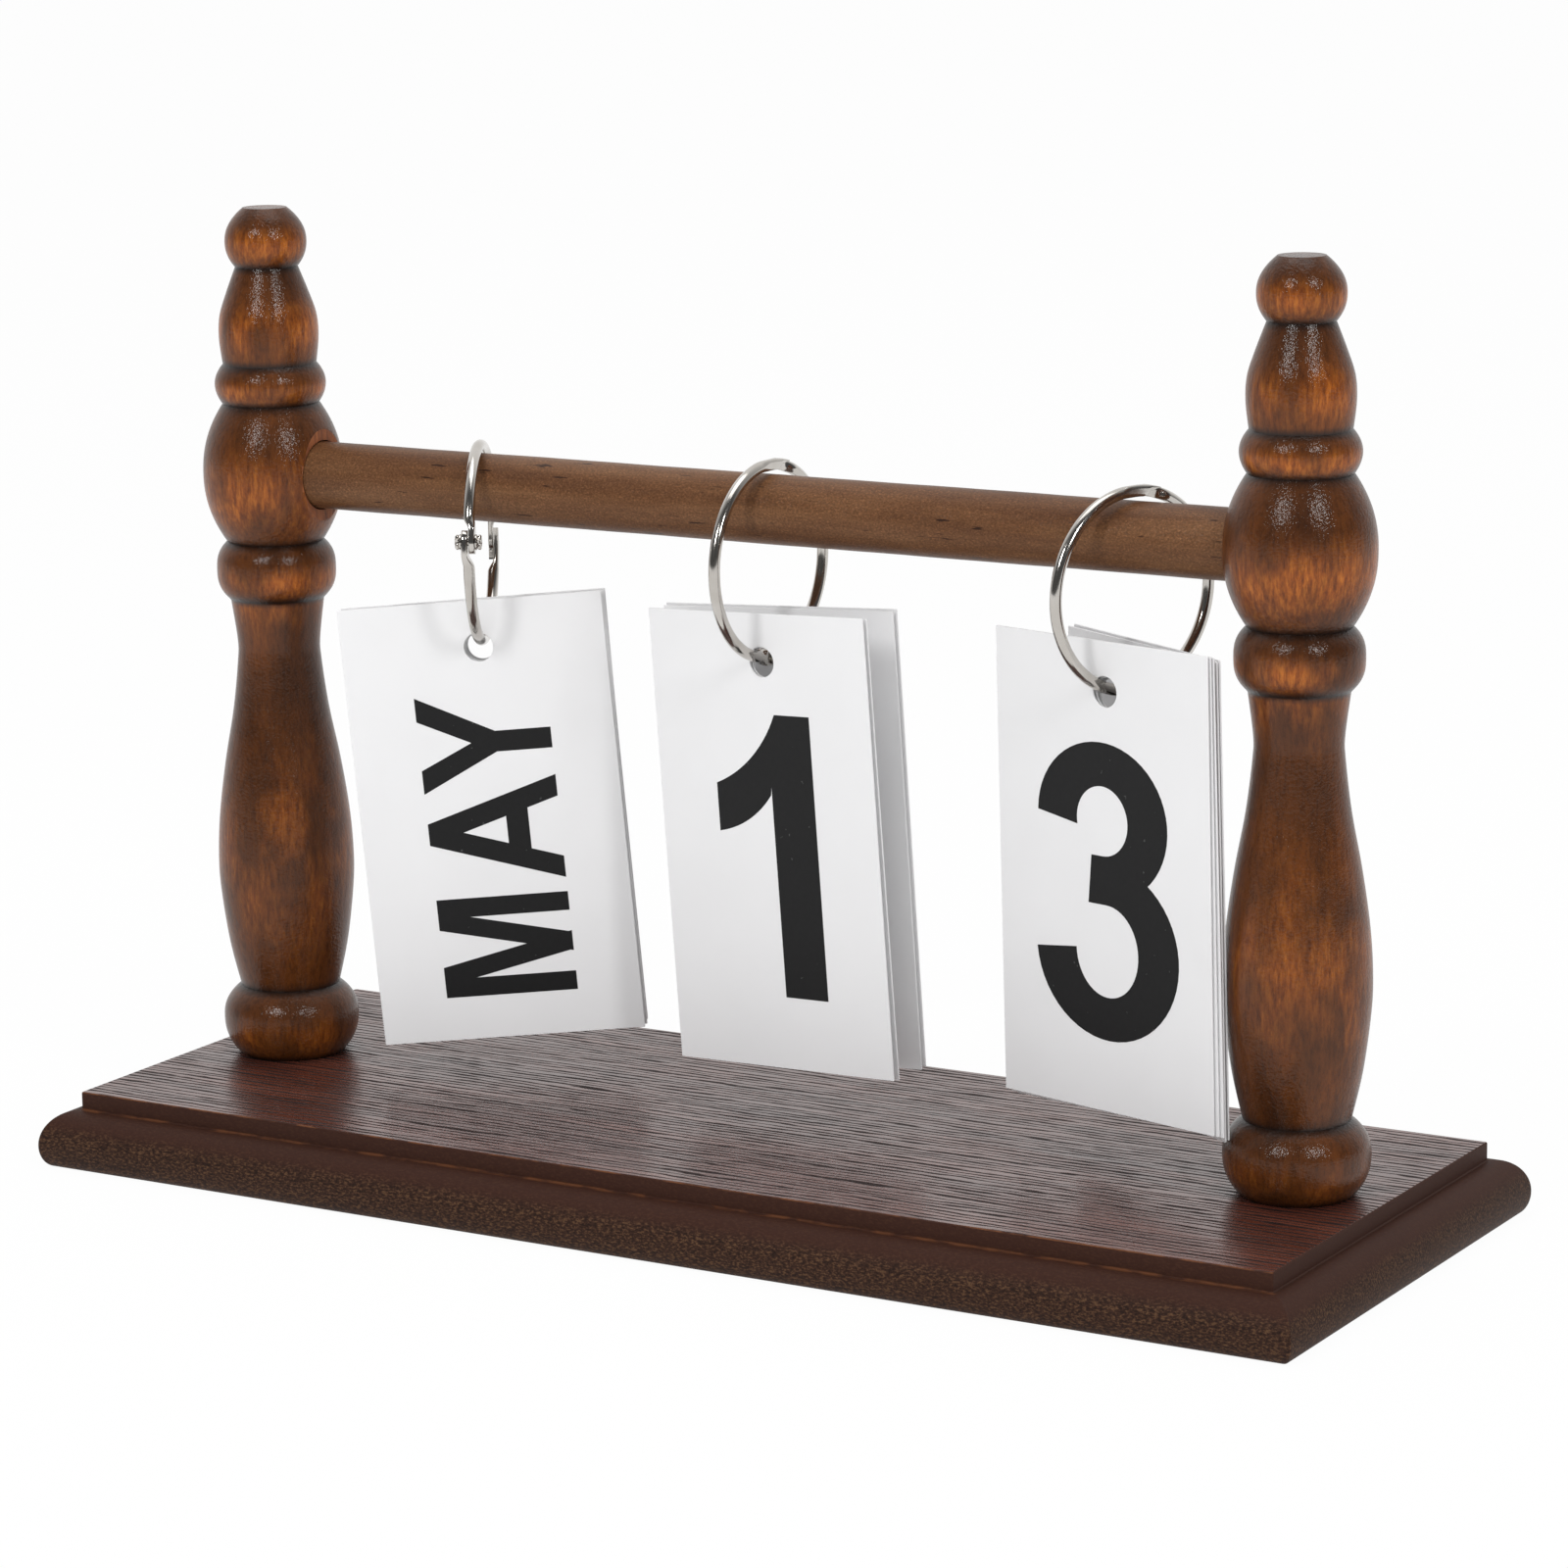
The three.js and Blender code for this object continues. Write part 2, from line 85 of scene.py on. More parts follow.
LONG_EDGE_BAND = 0.5 * MM  # of the top, inwards from its long edges
SCREW_HEAD_RADIUS = 4.2 * MM
SCREW_SHANK_RADIUS = 2.1 * MM
SCREW_HEAD_HEIGHT = 2.4 * MM
SCREW_LENGTH = 42 * MM

# The wire: its lugs lie beside each other at the rivet, and its hooks at the clasp
WIRE_RADIUS = 1.25 * MM
HINGE_GAP = 0.2 * MM
LUG_HALF_WIDTH = 1.75 * MM
LUG_THICKNESS = 1.4 * MM
LUG_PAST = 2.5 * MM  # from the rivet to a lug's end
HOOK_THICKNESS = WIRE_RADIUS - HINGE_GAP / 2
HOOK_LENGTH = 7 * MM
HOOK_RUN = 3 * MM  # over which the round wire turns into the hook
HOOK_GAP = 0.05 * MM  # from the ring's middle plane

# The cards, each in its own frame with the hole at the origin, and their prints, each with its height,
# how far its middle is below the hole, and how far to the right of the card's middle
CARD_HOLE_RADIUS = 3.25 * MM
CARD_HOLE_INSET = 10.5 * MM
CARD_HOLE_OFFSET = 1.2 * MM  # to the right of the card's middle
CARD_CORNER = 0.2 * MM
CARD_ARRIS = 0.07 * MM
INK_THICKNESS = 0.03 * MM
INK_STEP = 0.001 * MM
MONTH_PRINT = (29.5 * MM, 44.8 * MM, 0.4 * MM)
FIGURE_PRINT = (61.8 * MM, 42.2 * MM, -0.2 * MM)

# The rings: the oval that the wire follows, and where on it the hinge and the clasp are. A place on the
# wire is an angle, 0 at the bottom, growing towards the front. The wire is round from the shoulder on,
# which is a length from the rivet. The digits' rings are alike.
DIGIT_RING = {
    "across": 21.4 * MM,
    "high": 20.6 * MM,
    "hinge": 2,
    "clasp": -172,
    "hook_side": 1,
    "shoulder": 3.8 * MM,
    "halves": ("front", "rear"),
}
DECKS = {
    "month": {
        "across": 20.6 * MM,
        "high": 21.4 * MM,
        "hinge": 99,
        "clasp": -81,
        "hook_side": -1,
        "shoulder": 5.5 * MM,
        "halves": ("upper", "lower"),
        "fronts": ("MAY", "JUN", "JUL", "AUG", "SEP", "OCT"),
        "backs": ("NOV", "DEC", "JAN", "FEB", "MAR", "APR"),
    },
    "tens": {**DIGIT_RING, "fronts": ("1", "2", "3", "0"), "backs": ("", "", "", "")},
    "units": {**DIGIT_RING, "fronts": ("3", "4", "5", "6", "7"), "backs": ("8", "9", "0", "1", "2")},
}


# ---------------------------------------------------------------------------------------------------
# Node helpers


EVEN = (1, 1, 1)  # no stretch


def as_colour(value):
    """A shader's colour, from a linear grey or from three numbers, 0 to 255, as it reads on screen."""

    def linear(part):
        share = part / 255
        return share / 12.92 if share <= 0.04045 else ((share + 0.055) / 1.055) ** 2.4

    return (value, value, value, 1) if isinstance(value, (int, float)) else (*map(linear, value), 1)


class Graph:
    """A node tree whose nodes are added and linked by short calls."""

    def __init__(self, tree):
        self.tree = tree

    def feed(self, socket, value):
        """Links another node's output to the socket, or sets the socket to a constant."""
        if isinstance(value, bpy.types.NodeSocket):
            self.tree.links.new(value, socket)
        else:
            socket.default_value = as_colour(value) if socket.type == "RGBA" else value

    def node(self, kind, inputs=None, **settings):
        """inputs has the label or the place of each input, with what feeds it."""
        made = self.tree.nodes.new(kind)
        for label, value in settings.items():
            setattr(made, label, value)
        for label, value in (inputs or {}).items():
            self.feed(made.inputs[label], value)
        return made

    def math(self, operation, first, second=0.0):
        return self.node("ShaderNodeMath", {0: first, 1: second}, operation=operation).outputs[0]

    def highest(self, *sockets):
        """The greatest of the sockets' values."""
        greatest = sockets[0]
        for socket in sockets[1:]:
            greatest = self.math("MAXIMUM", greatest, socket)
        return greatest


class Shader(Graph):
    """A material's graph."""

    def __init__(self, name):
        self.material = bpy.data.materials.new(name)
        self.material.use_nodes = True
        self.surface = self.material.node_tree.nodes["Principled BSDF"]
        super().__init__(self.material.node_tree)

    def set(self, **values):
        for label, value in values.items():
            self.feed(self.surface.inputs[label.replace("_", " ")], value)

    def place(self, stretch=EVEN):
        """Object coordinates in metres, times stretch: under 1, it draws a pattern out along that axis."""
        coordinates = self.node("ShaderNodeTexCoord").outputs["Object"]
        return self.node("ShaderNodeMapping", {"Vector": coordinates, "Scale": stretch}).outputs["Vector"]

    def noise(self, stretch, scale, detail=3, roughness=0.5, distortion=0):
        inputs = {"Vector": self.place(stretch), "Scale": scale, "Detail": detail}
        inputs.update({"Roughness": roughness, "Distortion": distortion})
        return self.node("ShaderNodeTexNoise", inputs).outputs["Fac"]

    def lines(self, stretch, scale, distortion, detail):
        """Wavering lines along X, 50 mm over scale apart."""
        inputs = {"Vector": self.place(stretch), "Scale": scale, "Distortion": distortion, "Detail": detail}
        inputs.update({"Detail Scale": 1.5, "Detail Roughness": 0.65})
        return self.node("ShaderNodeTexWave", inputs, bands_direction="Y").outputs["Fac"]

    def ramp(self, fac, *stops):
        """Each stop is (place, grey or colour)."""
        made = self.node("ShaderNodeValToRGB", {"Fac": fac})
        while len(made.color_ramp.elements) < len(stops):
            made.color_ramp.elements.new(1)
        for element, (place, colour) in zip(made.color_ramp.elements, stops):
            element.position = place
            element.color = as_colour(colour)
        return made.outputs["Color"]

    def mix(self, fac, first, second, blend="MIX"):
        """A mix of two colours, whose node has its sockets for colours at these places."""
        inputs = {0: fac, 6: first, 7: second}
        return self.node("ShaderNodeMix", inputs, data_type="RGBA", blend_type=blend).outputs[2]

    def attribute(self, name):
        return self.node("ShaderNodeAttribute", attribute_name=name).outputs["Fac"]

    def bump(self, height, strength, distance, normal=None):
        inputs = {"Height": height, "Strength": strength, "Distance": distance}
        if normal:
            inputs["Normal"] = normal
        return self.node("ShaderNodeBump", inputs).outputs["Normal"]


# ---------------------------------------------------------------------------------------------------
# Materials


def post_wood():
    """Stained wood under varnish. The attribute for the grooves is 1 deep in a groove, where shade is painted
    in as a darker colour, and warm is 1 where the stain is thin.
    """
    shader = Shader("post_wood")
    broad = shader.noise((1, 1, 0.2), 80, detail=4, roughness=0.6)
    base = shader.ramp(broad, (0.3, (52, 26, 8)), (0.5, (74, 39, 13)), (0.7, (96, 52, 20)))
    streaks = shader.noise((1, 1, 0.2), 1000, detail=4, roughness=0.65)
    glow = shader.ramp(streaks, (0.34, (112, 54, 15)), (0.5, (148, 78, 22)), (0.66, (180, 104, 34)))
    patches = shader.noise((1, 1, 0.6), 90, detail=2)
    warm = shader.math("MULTIPLY", shader.attribute("warm"), shader.ramp(patches, (0.38, 0.12), (0.62, 1)))
    stained = shader.mix(warm, base, glow)
    pores = shader.noise((1, 1, 0.22), 1300, detail=3, roughness=0.7)
    shaded = shader.mix(0.45, stained, shader.ramp(pores, (0.38, 0.4), (0.52, 1)), "MULTIPLY")
    # Painted shade: each groove is darkened towards (28, 16, 10)
    shader.set(Base_Color=shader.mix(shader.attribute("hollow"), shaded, (28, 16, 10)))
    shader.set(Roughness=0.5, Specular_IOR_Level=0.08, Coat_Weight=0.5, Coat_Roughness=0.1)
    pebbles = shader.noise(EVEN, 1500, detail=2, roughness=0.6)
    runs = shader.noise(EVEN, 260, detail=1)
    shader.set(Normal=shader.bump(pebbles, 0.4, 0.12 * MM))
    shader.set(Coat_Normal=shader.bump(pebbles, 0.8, 0.18 * MM, shader.bump(runs, 0.3, 0.3 * MM)))
    return shader.material


def raw_wood():
    """The stained wood without varnish that shows on the flat cut of a post's ball and in its bore."""
    shader = Shader("raw_wood")
    grain = shader.noise((1, 1, 0.16), 900, detail=5, roughness=0.65)
    colour = shader.ramp(grain, (0.35, (92, 46, 20)), (0.55, (132, 72, 32)), (0.7, (156, 92, 46)))
    shader.set(Base_Color=colour, Roughness=0.7, Normal=shader.bump(grain, 0.6, 0.15 * MM))
    return shader.material


def plinth_wood():
    """Dark open-pored board, grain along X, with a satin top and matt routed edges."""
    shader = Shader("plinth_wood")
    broad = shader.noise((0.09, 1, 1), 150, detail=4, roughness=0.6, distortion=0.4)
    base = shader.ramp(broad, (0.3, (70, 33, 24)), (0.5, (88, 44, 33)), (0.7, (106, 58, 45)))
    pores = shader.lines((0.12, 1, 1), 165, 7, 4)
    on_top = shader.attribute("top_face")
    solid = shader.mix(on_top, 1, shader.ramp(pores, (0.1, 0), (0.5, 1)))
    top = shader.mix(solid, (34, 17, 14), base)
    speckle = shader.noise((0.5, 1, 1), 2200, detail=2, roughness=0.7)
    sawn = shader.ramp(speckle, (0.36, (36, 21, 15)), (0.52, (57, 36, 26)), (0.66, (90, 64, 44)))
    edge = shader.mix(shader.attribute("coarse"), (58, 32, 23), sawn)
    colour = shader.mix(on_top, edge, top)
    wear_noise = shader.noise((0.4, 1, 1), 500, detail=3)
    apart = shader.node("ShaderNodeSeparateXYZ", {0: shader.place()})
    aside = shader.math("ABSOLUTE", apart.outputs["Y"])
    long_edge = shader.math("GREATER_THAN", aside, plinth_high.y - TOP_INSET - LONG_EDGE_BAND)
    worn = shader.math("MULTIPLY", shader.attribute("worn"), long_edge)
    wear = shader.math("MULTIPLY", worn, shader.ramp(wear_noise, (0.42, 0), (0.6, 0.7)))
    shader.set(Base_Color=shader.mix(wear, colour, (118, 72, 42)))
    polish = shader.ramp(pores, (0.1, 0.7), (0.5, 0.26))
    sheen = shader.math("MULTIPLY", shader.math("ADD", solid, 0.2), 0.95)
    shader.set(Roughness=shader.mix(on_top, 0.62, polish))
    shader.set(Specular_IOR_Level=shader.math("MULTIPLY", shader.math("ADD", on_top, 0.12), sheen))
    normal = shader.bump(solid, 0.35, 0.1 * MM)
    shader.set(Normal=shader.bump(speckle, 0.25, 0.06 * MM, normal))
    return shader.material


def bar_wood():
    """Satin dowel, grain along X, with a fine speckle and a few short pores."""
    shader = Shader("bar_wood")
    broad = shader.noise((0.1, 1, 1), 200, detail=3, roughness=0.6)
    base = shader.ramp(broad, (0.3, (88, 56, 35)), (0.5, (104, 69, 43)), (0.7, (118, 82, 54)))
    speckle = shader.noise((0.7, 1, 1), 2700, detail=2, roughness=0.7)
    mottle = shader.ramp(speckle, (0.34, 0.45), (0.5, 0.85), (0.62, 1.2), (0.72, 2.2))
    stained = shader.mix(0.6, base, mottle, "MULTIPLY")
    pores = shader.noise((0.12, 1, 1), 900, detail=2)
    shader.set(Base_Color=shader.mix(shader.ramp(pores, (0.27, 0.9), (0.31, 0)), stained, (36, 20, 13)))
    shader.set(Roughness=0.5, Specular_IOR_Level=0.1, Coat_Weight=0.2, Coat_Roughness=0.15)
    shader.set(Normal=shader.bump(speckle, 0.4, 0.08 * MM))
    shader.set(Coat_Normal=shader.bump(speckle, 1, 0.15 * MM))
    return shader.material


def nickel():
    """Bright plated wire, a little tarnished in places."""
    shader = Shader("ring_nickel")
    tarnish = shader.noise(EVEN, 120, detail=2)
    shader.set(Base_Color=shader.ramp(tarnish, (0.3, (186, 181, 174)), (0.7, (204, 200, 195))))
    shader.set(Metallic=1.0, Roughness=shader.ramp(tarnish, (0.3, 0.17), (0.7, 0.11)))
    return shader.material


def zinc():
    """Zinc-plated screw steel."""
    shader = Shader("screw_steel")
    spangle = shader.noise(EVEN, 500, detail=4)
    shader.set(Base_Color=shader.ramp(spangle, (0.35, (150, 146, 136)), (0.65, (188, 184, 172))))
    shader.set(Metallic=1.0, Roughness=shader.ramp(spangle, (0.3, 0.42), (0.7, 0.28)))
    shader.set(Normal=shader.bump(spangle, 0.1, 0.05 * MM))
    return shader.material


def card_plastic():
    """White semi-matt sheet with a faint mottle."""
    shader = Shader("card_plastic")
    mottle = shader.noise(EVEN, 40, detail=2)
    shader.set(Base_Color=shader.ramp(mottle, (0.3, (238, 238, 239)), (0.7, (241, 241, 242))))
    shader.set(Roughness=0.46, Specular_IOR_Level=0.4)
    grain = shader.noise(EVEN, 2600, detail=2)
    shader.set(Normal=shader.bump(grain, 0.05, 0.02 * MM))
    return shader.material


def ink():
    """Near-black screen print with pinholes."""
    shader = Shader("print_ink")
    specks = shader.noise(EVEN, 900, detail=1)
    colour = shader.ramp(specks, (0.2, (70, 70, 70)), (0.24, (18, 18, 19)), (0.8, (22, 22, 23)))
    shader.set(Base_Color=colour, Roughness=0.5, Specular_IOR_Level=0.3)
    return shader.material


# ---------------------------------------------------------------------------------------------------
# Mesh helpers


def linked(name, data):
    """An object of the scene that shows the data."""
    made = bpy.data.objects.new(name, data)
    bpy.context.scene.collection.objects.link(made)
    return made


def smooth(mesh, sharp_degrees):
    mesh.polygons.foreach_set("use_smooth", [True] * len(mesh.polygons))
    mesh.set_sharp_from_angle(angle=math.radians(sharp_degrees))


def mesh_object(name, vertices, faces, sharp_degrees=SHARP_DEGREES, joined=True):
    """An object with its faces turned outwards. One that isn't joined keeps doubled points and flat faces."""
    merge_distance = 1e-7
    mesh = bpy.data.meshes.new(name)
    mesh.from_pydata([tuple(vertex) for vertex in vertices], [], faces)
    shape = bmesh.new()
    shape.from_mesh(mesh)
    if joined:
        bmesh.ops.remove_doubles(shape, verts=shape.verts, dist=merge_distance)
        bmesh.ops.dissolve_degenerate(shape, edges=shape.edges, dist=merge_distance)
    bmesh.ops.recalc_face_normals(shape, faces=shape.faces)
    shape.to_mesh(mesh)
    shape.free()
    if joined:
        smooth(mesh, sharp_degrees)
    return linked(name, mesh)


def stacked_rings(rings, capped=True):
    """Quads between closed rings of the same point count. Returns vertices and faces."""
    count = len(rings[0])
    vertices = [point for ring in rings for point in ring]
    faces = []
    for low in range(0, len(vertices) - count, count):
        for i in range(count):
            after = (i + 1) % count
            faces.append((low + i, low + after, low + count + after, low + count + i))
    if capped:
        faces.append(tuple(reversed(range(count))))
        faces.append(tuple(range(len(vertices) - count, len(vertices))))
    return vertices, faces


def turned(name, profile, facets=TURNED_FACETS, sharp_degrees=SHARP_DEGREES):
    """Solid of revolution about Z from (radius, height) points. The radius may be a function of angle."""
    rings = []
    for radius, height in profile:
        ring = []
        for i in range(facets):
            angle = 2 * math.pi * i / facets
            reach = radius(angle) if callable(radius) else radius
            ring.append((reach * math.cos(angle), reach * math.sin(angle), height))
        rings.append(ring)
    return mesh_object(name, *stacked_rings(rings), sharp_degrees=sharp_degrees)


def cut(piece, *cutters):
    """Cuts the cutters out of the piece and removes them."""
    for cutter in cutters:
        modifier = piece.modifiers.new("cut", "BOOLEAN")
        modifier.operation = "DIFFERENCE"
        modifier.solver = "EXACT"
        modifier.object = cutter
        bpy.context.view_layer.update()
        shape = bpy.data.meshes.new_from_object(piece.evaluated_get(bpy.context.evaluated_depsgraph_get()))
        piece.modifiers.clear()
        piece.data = shape
        bpy.data.objects.remove(cutter)
    smooth(piece.data, SHARP_DEGREES)


def box_cutter(low, high):
    outline = ((low[0], low[1]), (high[0], low[1]), (high[0], high[1]), (low[0], high[1]))
    return mesh_object("cutter", *stacked_rings([[(x, y, z) for x, y in outline] for z in (low[2], high[2])]))


def paint(piece, name, value_of):
    """A float attribute of the mesh's points, for the material to read."""
    layer = piece.data.attributes.new(name, "FLOAT", "POINT")
    layer.data.foreach_set("value", [value_of(vertex.co) for vertex in piece.data.vertices])


def dress(piece, body, slot, material, *replaced):
    """Gives the piece its look, the body that it moves with and the node that it stands for. slot is not
    used.
    """
    piece.data.materials.clear()
    piece.data.materials.append(material)
    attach(piece, body)
    if replaced:
        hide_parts(*replaced)


def blend(first, second, share):
    return first + (second - first) * share


def ease(value, low, high):
    """0 up to low, 1 from high, and a smooth rise between them."""
    share = min(1.0, max(0.0, (value - low) / (high - low)))
    return share * share * (3 - 2 * share)


def bell(value, middle, reach):
    """1 at the middle, and falling off to both sides."""
    return math.exp(-(((value - middle) / reach) ** 2))


def spline(points, cuts):
    """Catmull-Rom curve through 2-D points."""
    padded = [points[0], *points, points[-1]]
    curve = []
    spans = len(points) - 1
    for step in range(cuts + 1):
        place = spans * step / cuts
        i = min(int(place), spans - 1)
        t = place - i
        a, b, c, d = (Vector(padded[i + k]) for k in range(4))
        curve.append(
            0.5 * (2 * b + (c - a) * t + (2 * a - 5 * b + 4 * c - d) * t**2 + (3 * b - a - 3 * c + d) * t**3)
        )
    return [tuple(point) for point in curve]


# ---------------------------------------------------------------------------------------------------
# Stand

# The turning, as in the solids: shares of the post's height and of its largest radius. A crown starts,
# crests and ends, and a sweep is a smooth curve through its points.
TURNING_SHARES = (
    ("crown", (0, 0.754), (0.045, 0.978), (0.083, 0.716), 2.4),
    (
        "sweep",
        (
            *((0.083, 0.716), (0.135, 0.859), (0.197, 0.958), (0.238, 0.978), (0.29, 0.939)),
            *((0.352, 0.831), (0.415, 0.687), (0.472, 0.601), (0.497, 0.594), (0.544, 0.668)),
        ),
    ),
    ("crown", (0.547, 0.7), (0.58, 0.853), (0.613, 0.69), 2.8),
    ("crown", (0.613, 0.69), (BALL_CREST_SHARE, 1), (0.774, 0.69), 2.2),
    ("crown", (0.774, 0.69), (0.797, 0.792), (0.82, 0.668), 2),
    ("sweep", ((0.82, 0.668), (0.85, 0.709), (0.876, 0.69), (0.902, 0.588), (0.932, 0.447))),
    ("crown", (0.932, 0.447), (0.961, 0.581), (1, 0.313), 2.2),
)
# The grooves between the forms, as shares of the height, and how far up and down the painted shade in each
# one reaches
GROOVE_SHARES = (0, 0.083, 0.547, 0.613, 0.774, 0.82, 0.932)
GROOVE_SHADE_REACH_SHARE = 0.007
PAST_TOP_SHARE = 1.001
VASE_SHARE = 0.3  # a form longer than this is the vase


def turning_profile():
    """(radius, height) up the post."""
    crown_cuts = 16
    sweep_cuts = 60
    least_rise = 1e-4
    points = []
    for form, *shape in TURNING_SHARES:
        if form == "sweep":
            points += spline(shape[0], sweep_cuts)
            continue
        start, crest, end, fullness = shape
        for edge, shares in ((start, range(crown_cuts, 0, -1)), (end, range(0, crown_cuts + 1))):
            for step in shares:
                away = step / crown_cuts
                points.append((blend(crest[0], edge[0], away), blend(crest[1], edge[1], away**fullness)))
    rising = [points[0]]
    for point in points[1:]:
        if point[0] > rising[-1][0] + least_rise:
            rising.append(point)
    return [(radius * BALL_RADIUS, height * POST_HEIGHT) for height, radius in rising]


def build_post(side, sign, varnish, bare):
    """A post, turned about Z with its flat cut and its bore towards X, and then stood in its place."""
    post = turned(f"{side}_turned_post", turning_profile())
    crest = BALL_CREST_SHARE * POST_HEIGHT
    facing = box_cutter(
        (POST_FACE, -BALL_RADIUS, crest - BALL_RADIUS),
        (BALL_RADIUS + CUTTER_PAST, BALL_RADIUS, crest + BALL_RADIUS),
    )
    bore_radius = BAR_RADIUS + SEAT_GAP
    bore = turned("cutter", [(bore_radius, 0), (bore_radius, BAR_SEAT + CUTTER_PAST)], BAR_FACETS)
    bore.data.transform(Matrix.Translation((POST_FACE - BAR_SEAT, 0, crest)) @ Z_TO_X)
    cut(post, facing, bore)

    # Painted shade: 1 at the bottom of a groove, fading out within the reach
    def hollow(place):
        share = place.z / POST_HEIGHT
        near = min(abs(share - groove) for groove in GROOVE_SHARES)
        return max(0.0, 1 - near / GROOVE_SHADE_REACH_SHARE) ** 0.8

    def warm(place):
        """The stain is thin on the lower part of each form of the turning."""
        share = min(max(place.z / POST_HEIGHT, 0), 1)
        low = max(groove for groove in GROOVE_SHARES if groove <= share)
        high = min((groove for groove in GROOVE_SHARES if groove > share), default=PAST_TOP_SHARE)
        thin = bell((share - low) / (high - low), 0.36, 0.24)
        if high - low > VASE_SHARE:
            # The long vase is warm under its bead too
            return 0.6 * thin + 0.7 * bell(share, high, 0.05)
        return thin * (0.5 if low == 0 else 1)

    def is_bare(face):
        """Whether it is a face of the flat cut or of the bore."""
        from_bore = math.hypot(face.center.y, face.center.z - crest)
        on_face = abs(face.center.x - POST_FACE) < SAME_PLACE and from_bore < BALL_RADIUS
        return on_face or (face.center.x > 0 and from_bore < bore_radius + SEAT_GAP)

    paint(post, "hollow", hollow)
    paint(post, "warm", warm)
    bare_faces = [face.index for face in post.data.polygons if is_bare(face)]
    turn = Matrix.Rotation(math.pi if sign > 0 else 0, 4, "Z")
    post.data.transform(Matrix.Translation((sign * POST_PLACE, 0, plinth_high.z)) @ turn)
    dress(post, "root", "post_wood", varnish, f"{side}_post")
    post.data.materials.append(bare)
    for index in bare_faces:
        post.data.polygons[index].material_index = 1


def plinth_edge():
    """(inset, height) up the edge, as in the solids but finer, with a worn arris at the top."""
    foot, widest, ovolo_inset = 2.6 * MM, 4.8 * MM, 6.6 * MM
    fillet = 0.25 * MM
    top = plinth_high.z
    ovolo_top = top - LEDGE_DEPTH
    under = [
        (foot * (1 - math.sin(a)), widest * (1 - math.cos(a))) for a in np.linspace(0, math.pi / 2, 12)
    ]
    ovolo = [
        (ovolo_inset * (1 - math.cos(a)), blend(widest, ovolo_top, math.sin(a)))
        for a in np.linspace(0, math.pi / 2, 24)[1:]
    ]
    ledge = [
        (TOP_INSET - fillet, ovolo_top),
        (TOP_INSET, ovolo_top + fillet),
        (TOP_INSET, ovolo_top + 2 * fillet),
    ]
    worn = [
        (TOP_INSET + TOP_ARRIS * (1 - math.cos(a)), top - TOP_ARRIS * (1 - math.sin(a)))
        for a in np.linspace(0, math.pi / 2, 6)
    ]
    return [*under, *ovolo, *ledge, *worn, (TOP_INSET + TOP_ARRIS + WEAR_BAND, top)]


def rounded_outline(half_length, half_width, radius, steps=4):
    """A rectangle with rounded corners, each of them steps + 1 points."""
    outline = []
    for quarter, (side_x, side_y) in enumerate(((1, 1), (-1, 1), (-1, -1), (1, -1))):
        for step in range(steps + 1):
            angle = (quarter + step / steps) * math.pi / 2
            x = side_x * (half_length - radius) + radius * math.cos(angle)
            y = side_y * (half_width - radius) + radius * math.sin(angle)
            outline.append((x, y))
    return outline


def build_plinth(material):
    half_length, half_width = plinth_high.x, plinth_high.y
    mitre_radius = 0.5 * MM
    rings = [
        [(x, y, height) for x, y in rounded_outline(half_length - inset, half_width - inset, mitre_radius)]
        for inset, height in plinth_edge()
    ]
    plinth = mesh_object("moulded_plinth", *stacked_rings(rings), sharp_degrees=30)
    head, shank = SCREW_HEAD_RADIUS + SEAT_GAP, SCREW_SHANK_RADIUS + SEAT_GAP
    sink_profile = [
        (head, -CUTTER_PAST),
        (head, SEAT_GAP),
        (shank, SEAT_GAP + SCREW_HEAD_HEIGHT),
        (shank, plinth_high.z + CUTTER_PAST),
    ]
    for sign in (-1, 1):
        sink = turned("cutter", sink_profile, SINK_FACETS)
        sink.data.transform(Matrix.Translation((sign * POST_PLACE, 0, 0)))
        cut(plinth, sink)

    arris_end = TOP_INSET + TOP_ARRIS
    ledge_height = plinth_high.z - LEDGE_DEPTH

    def on_top(place):
        return 1.0 if place.z > plinth_high.z - SAME_PLACE else 0.0

    def worn(place):
        """The arris at the top and the inner corner of the ledge."""
        from_arris = min(half_length - abs(place.x), half_width - abs(place.y)) - arris_end
        if ledge_height - SAME_PLACE < place.z < ledge_height + WEAR_BAND:
            return 0.7
        return 1.0 if place.z > plinth_high.z - 0.5 * TOP_ARRIS and from_arris < WEAR_BAND / 3 else 0.0

    def coarse(place):
        """The saw's marks on the lower part of the edge."""
        rough_top, smooth_from = 7.5 * MM, 10.5 * MM
        return 1 - 0.85 * ease(place.z, rough_top, smooth_from)

    paint(plinth, "coarse", coarse)
    paint(plinth, "top_face", on_top)
    paint(plinth, "worn", worn)
    dress(plinth, "root", "plinth_wood", material, "base_plinth")


def build_bar(material):
    """The dowel. Its radius wanders by a few hundredths of a millimetre, as a real one's does."""
    chamfer = 0.6 * MM
    wander = 0.02 * MM
    length = bar_high.x - bar_low.x
    steps = 40
    profile = [(BAR_RADIUS - chamfer, 0), (BAR_RADIUS, chamfer)]
    for step in range(1, steps):
        radius = BAR_RADIUS + wander * (math.sin(step * 1.9) + math.sin(step * 0.7) - 2)
        profile.append((radius, blend(chamfer, length - chamfer, step / steps)))
    profile += [(BAR_RADIUS, length - chamfer), (BAR_RADIUS - chamfer, length)]
    bar = turned("dowel_bar", profile, BAR_FACETS)
    bar.data.transform(Matrix.Translation((bar_low.x, 0, BAR_HEIGHT)) @ Z_TO_X)
    dress(bar, "root", "bar_wood", material, "crossbar")


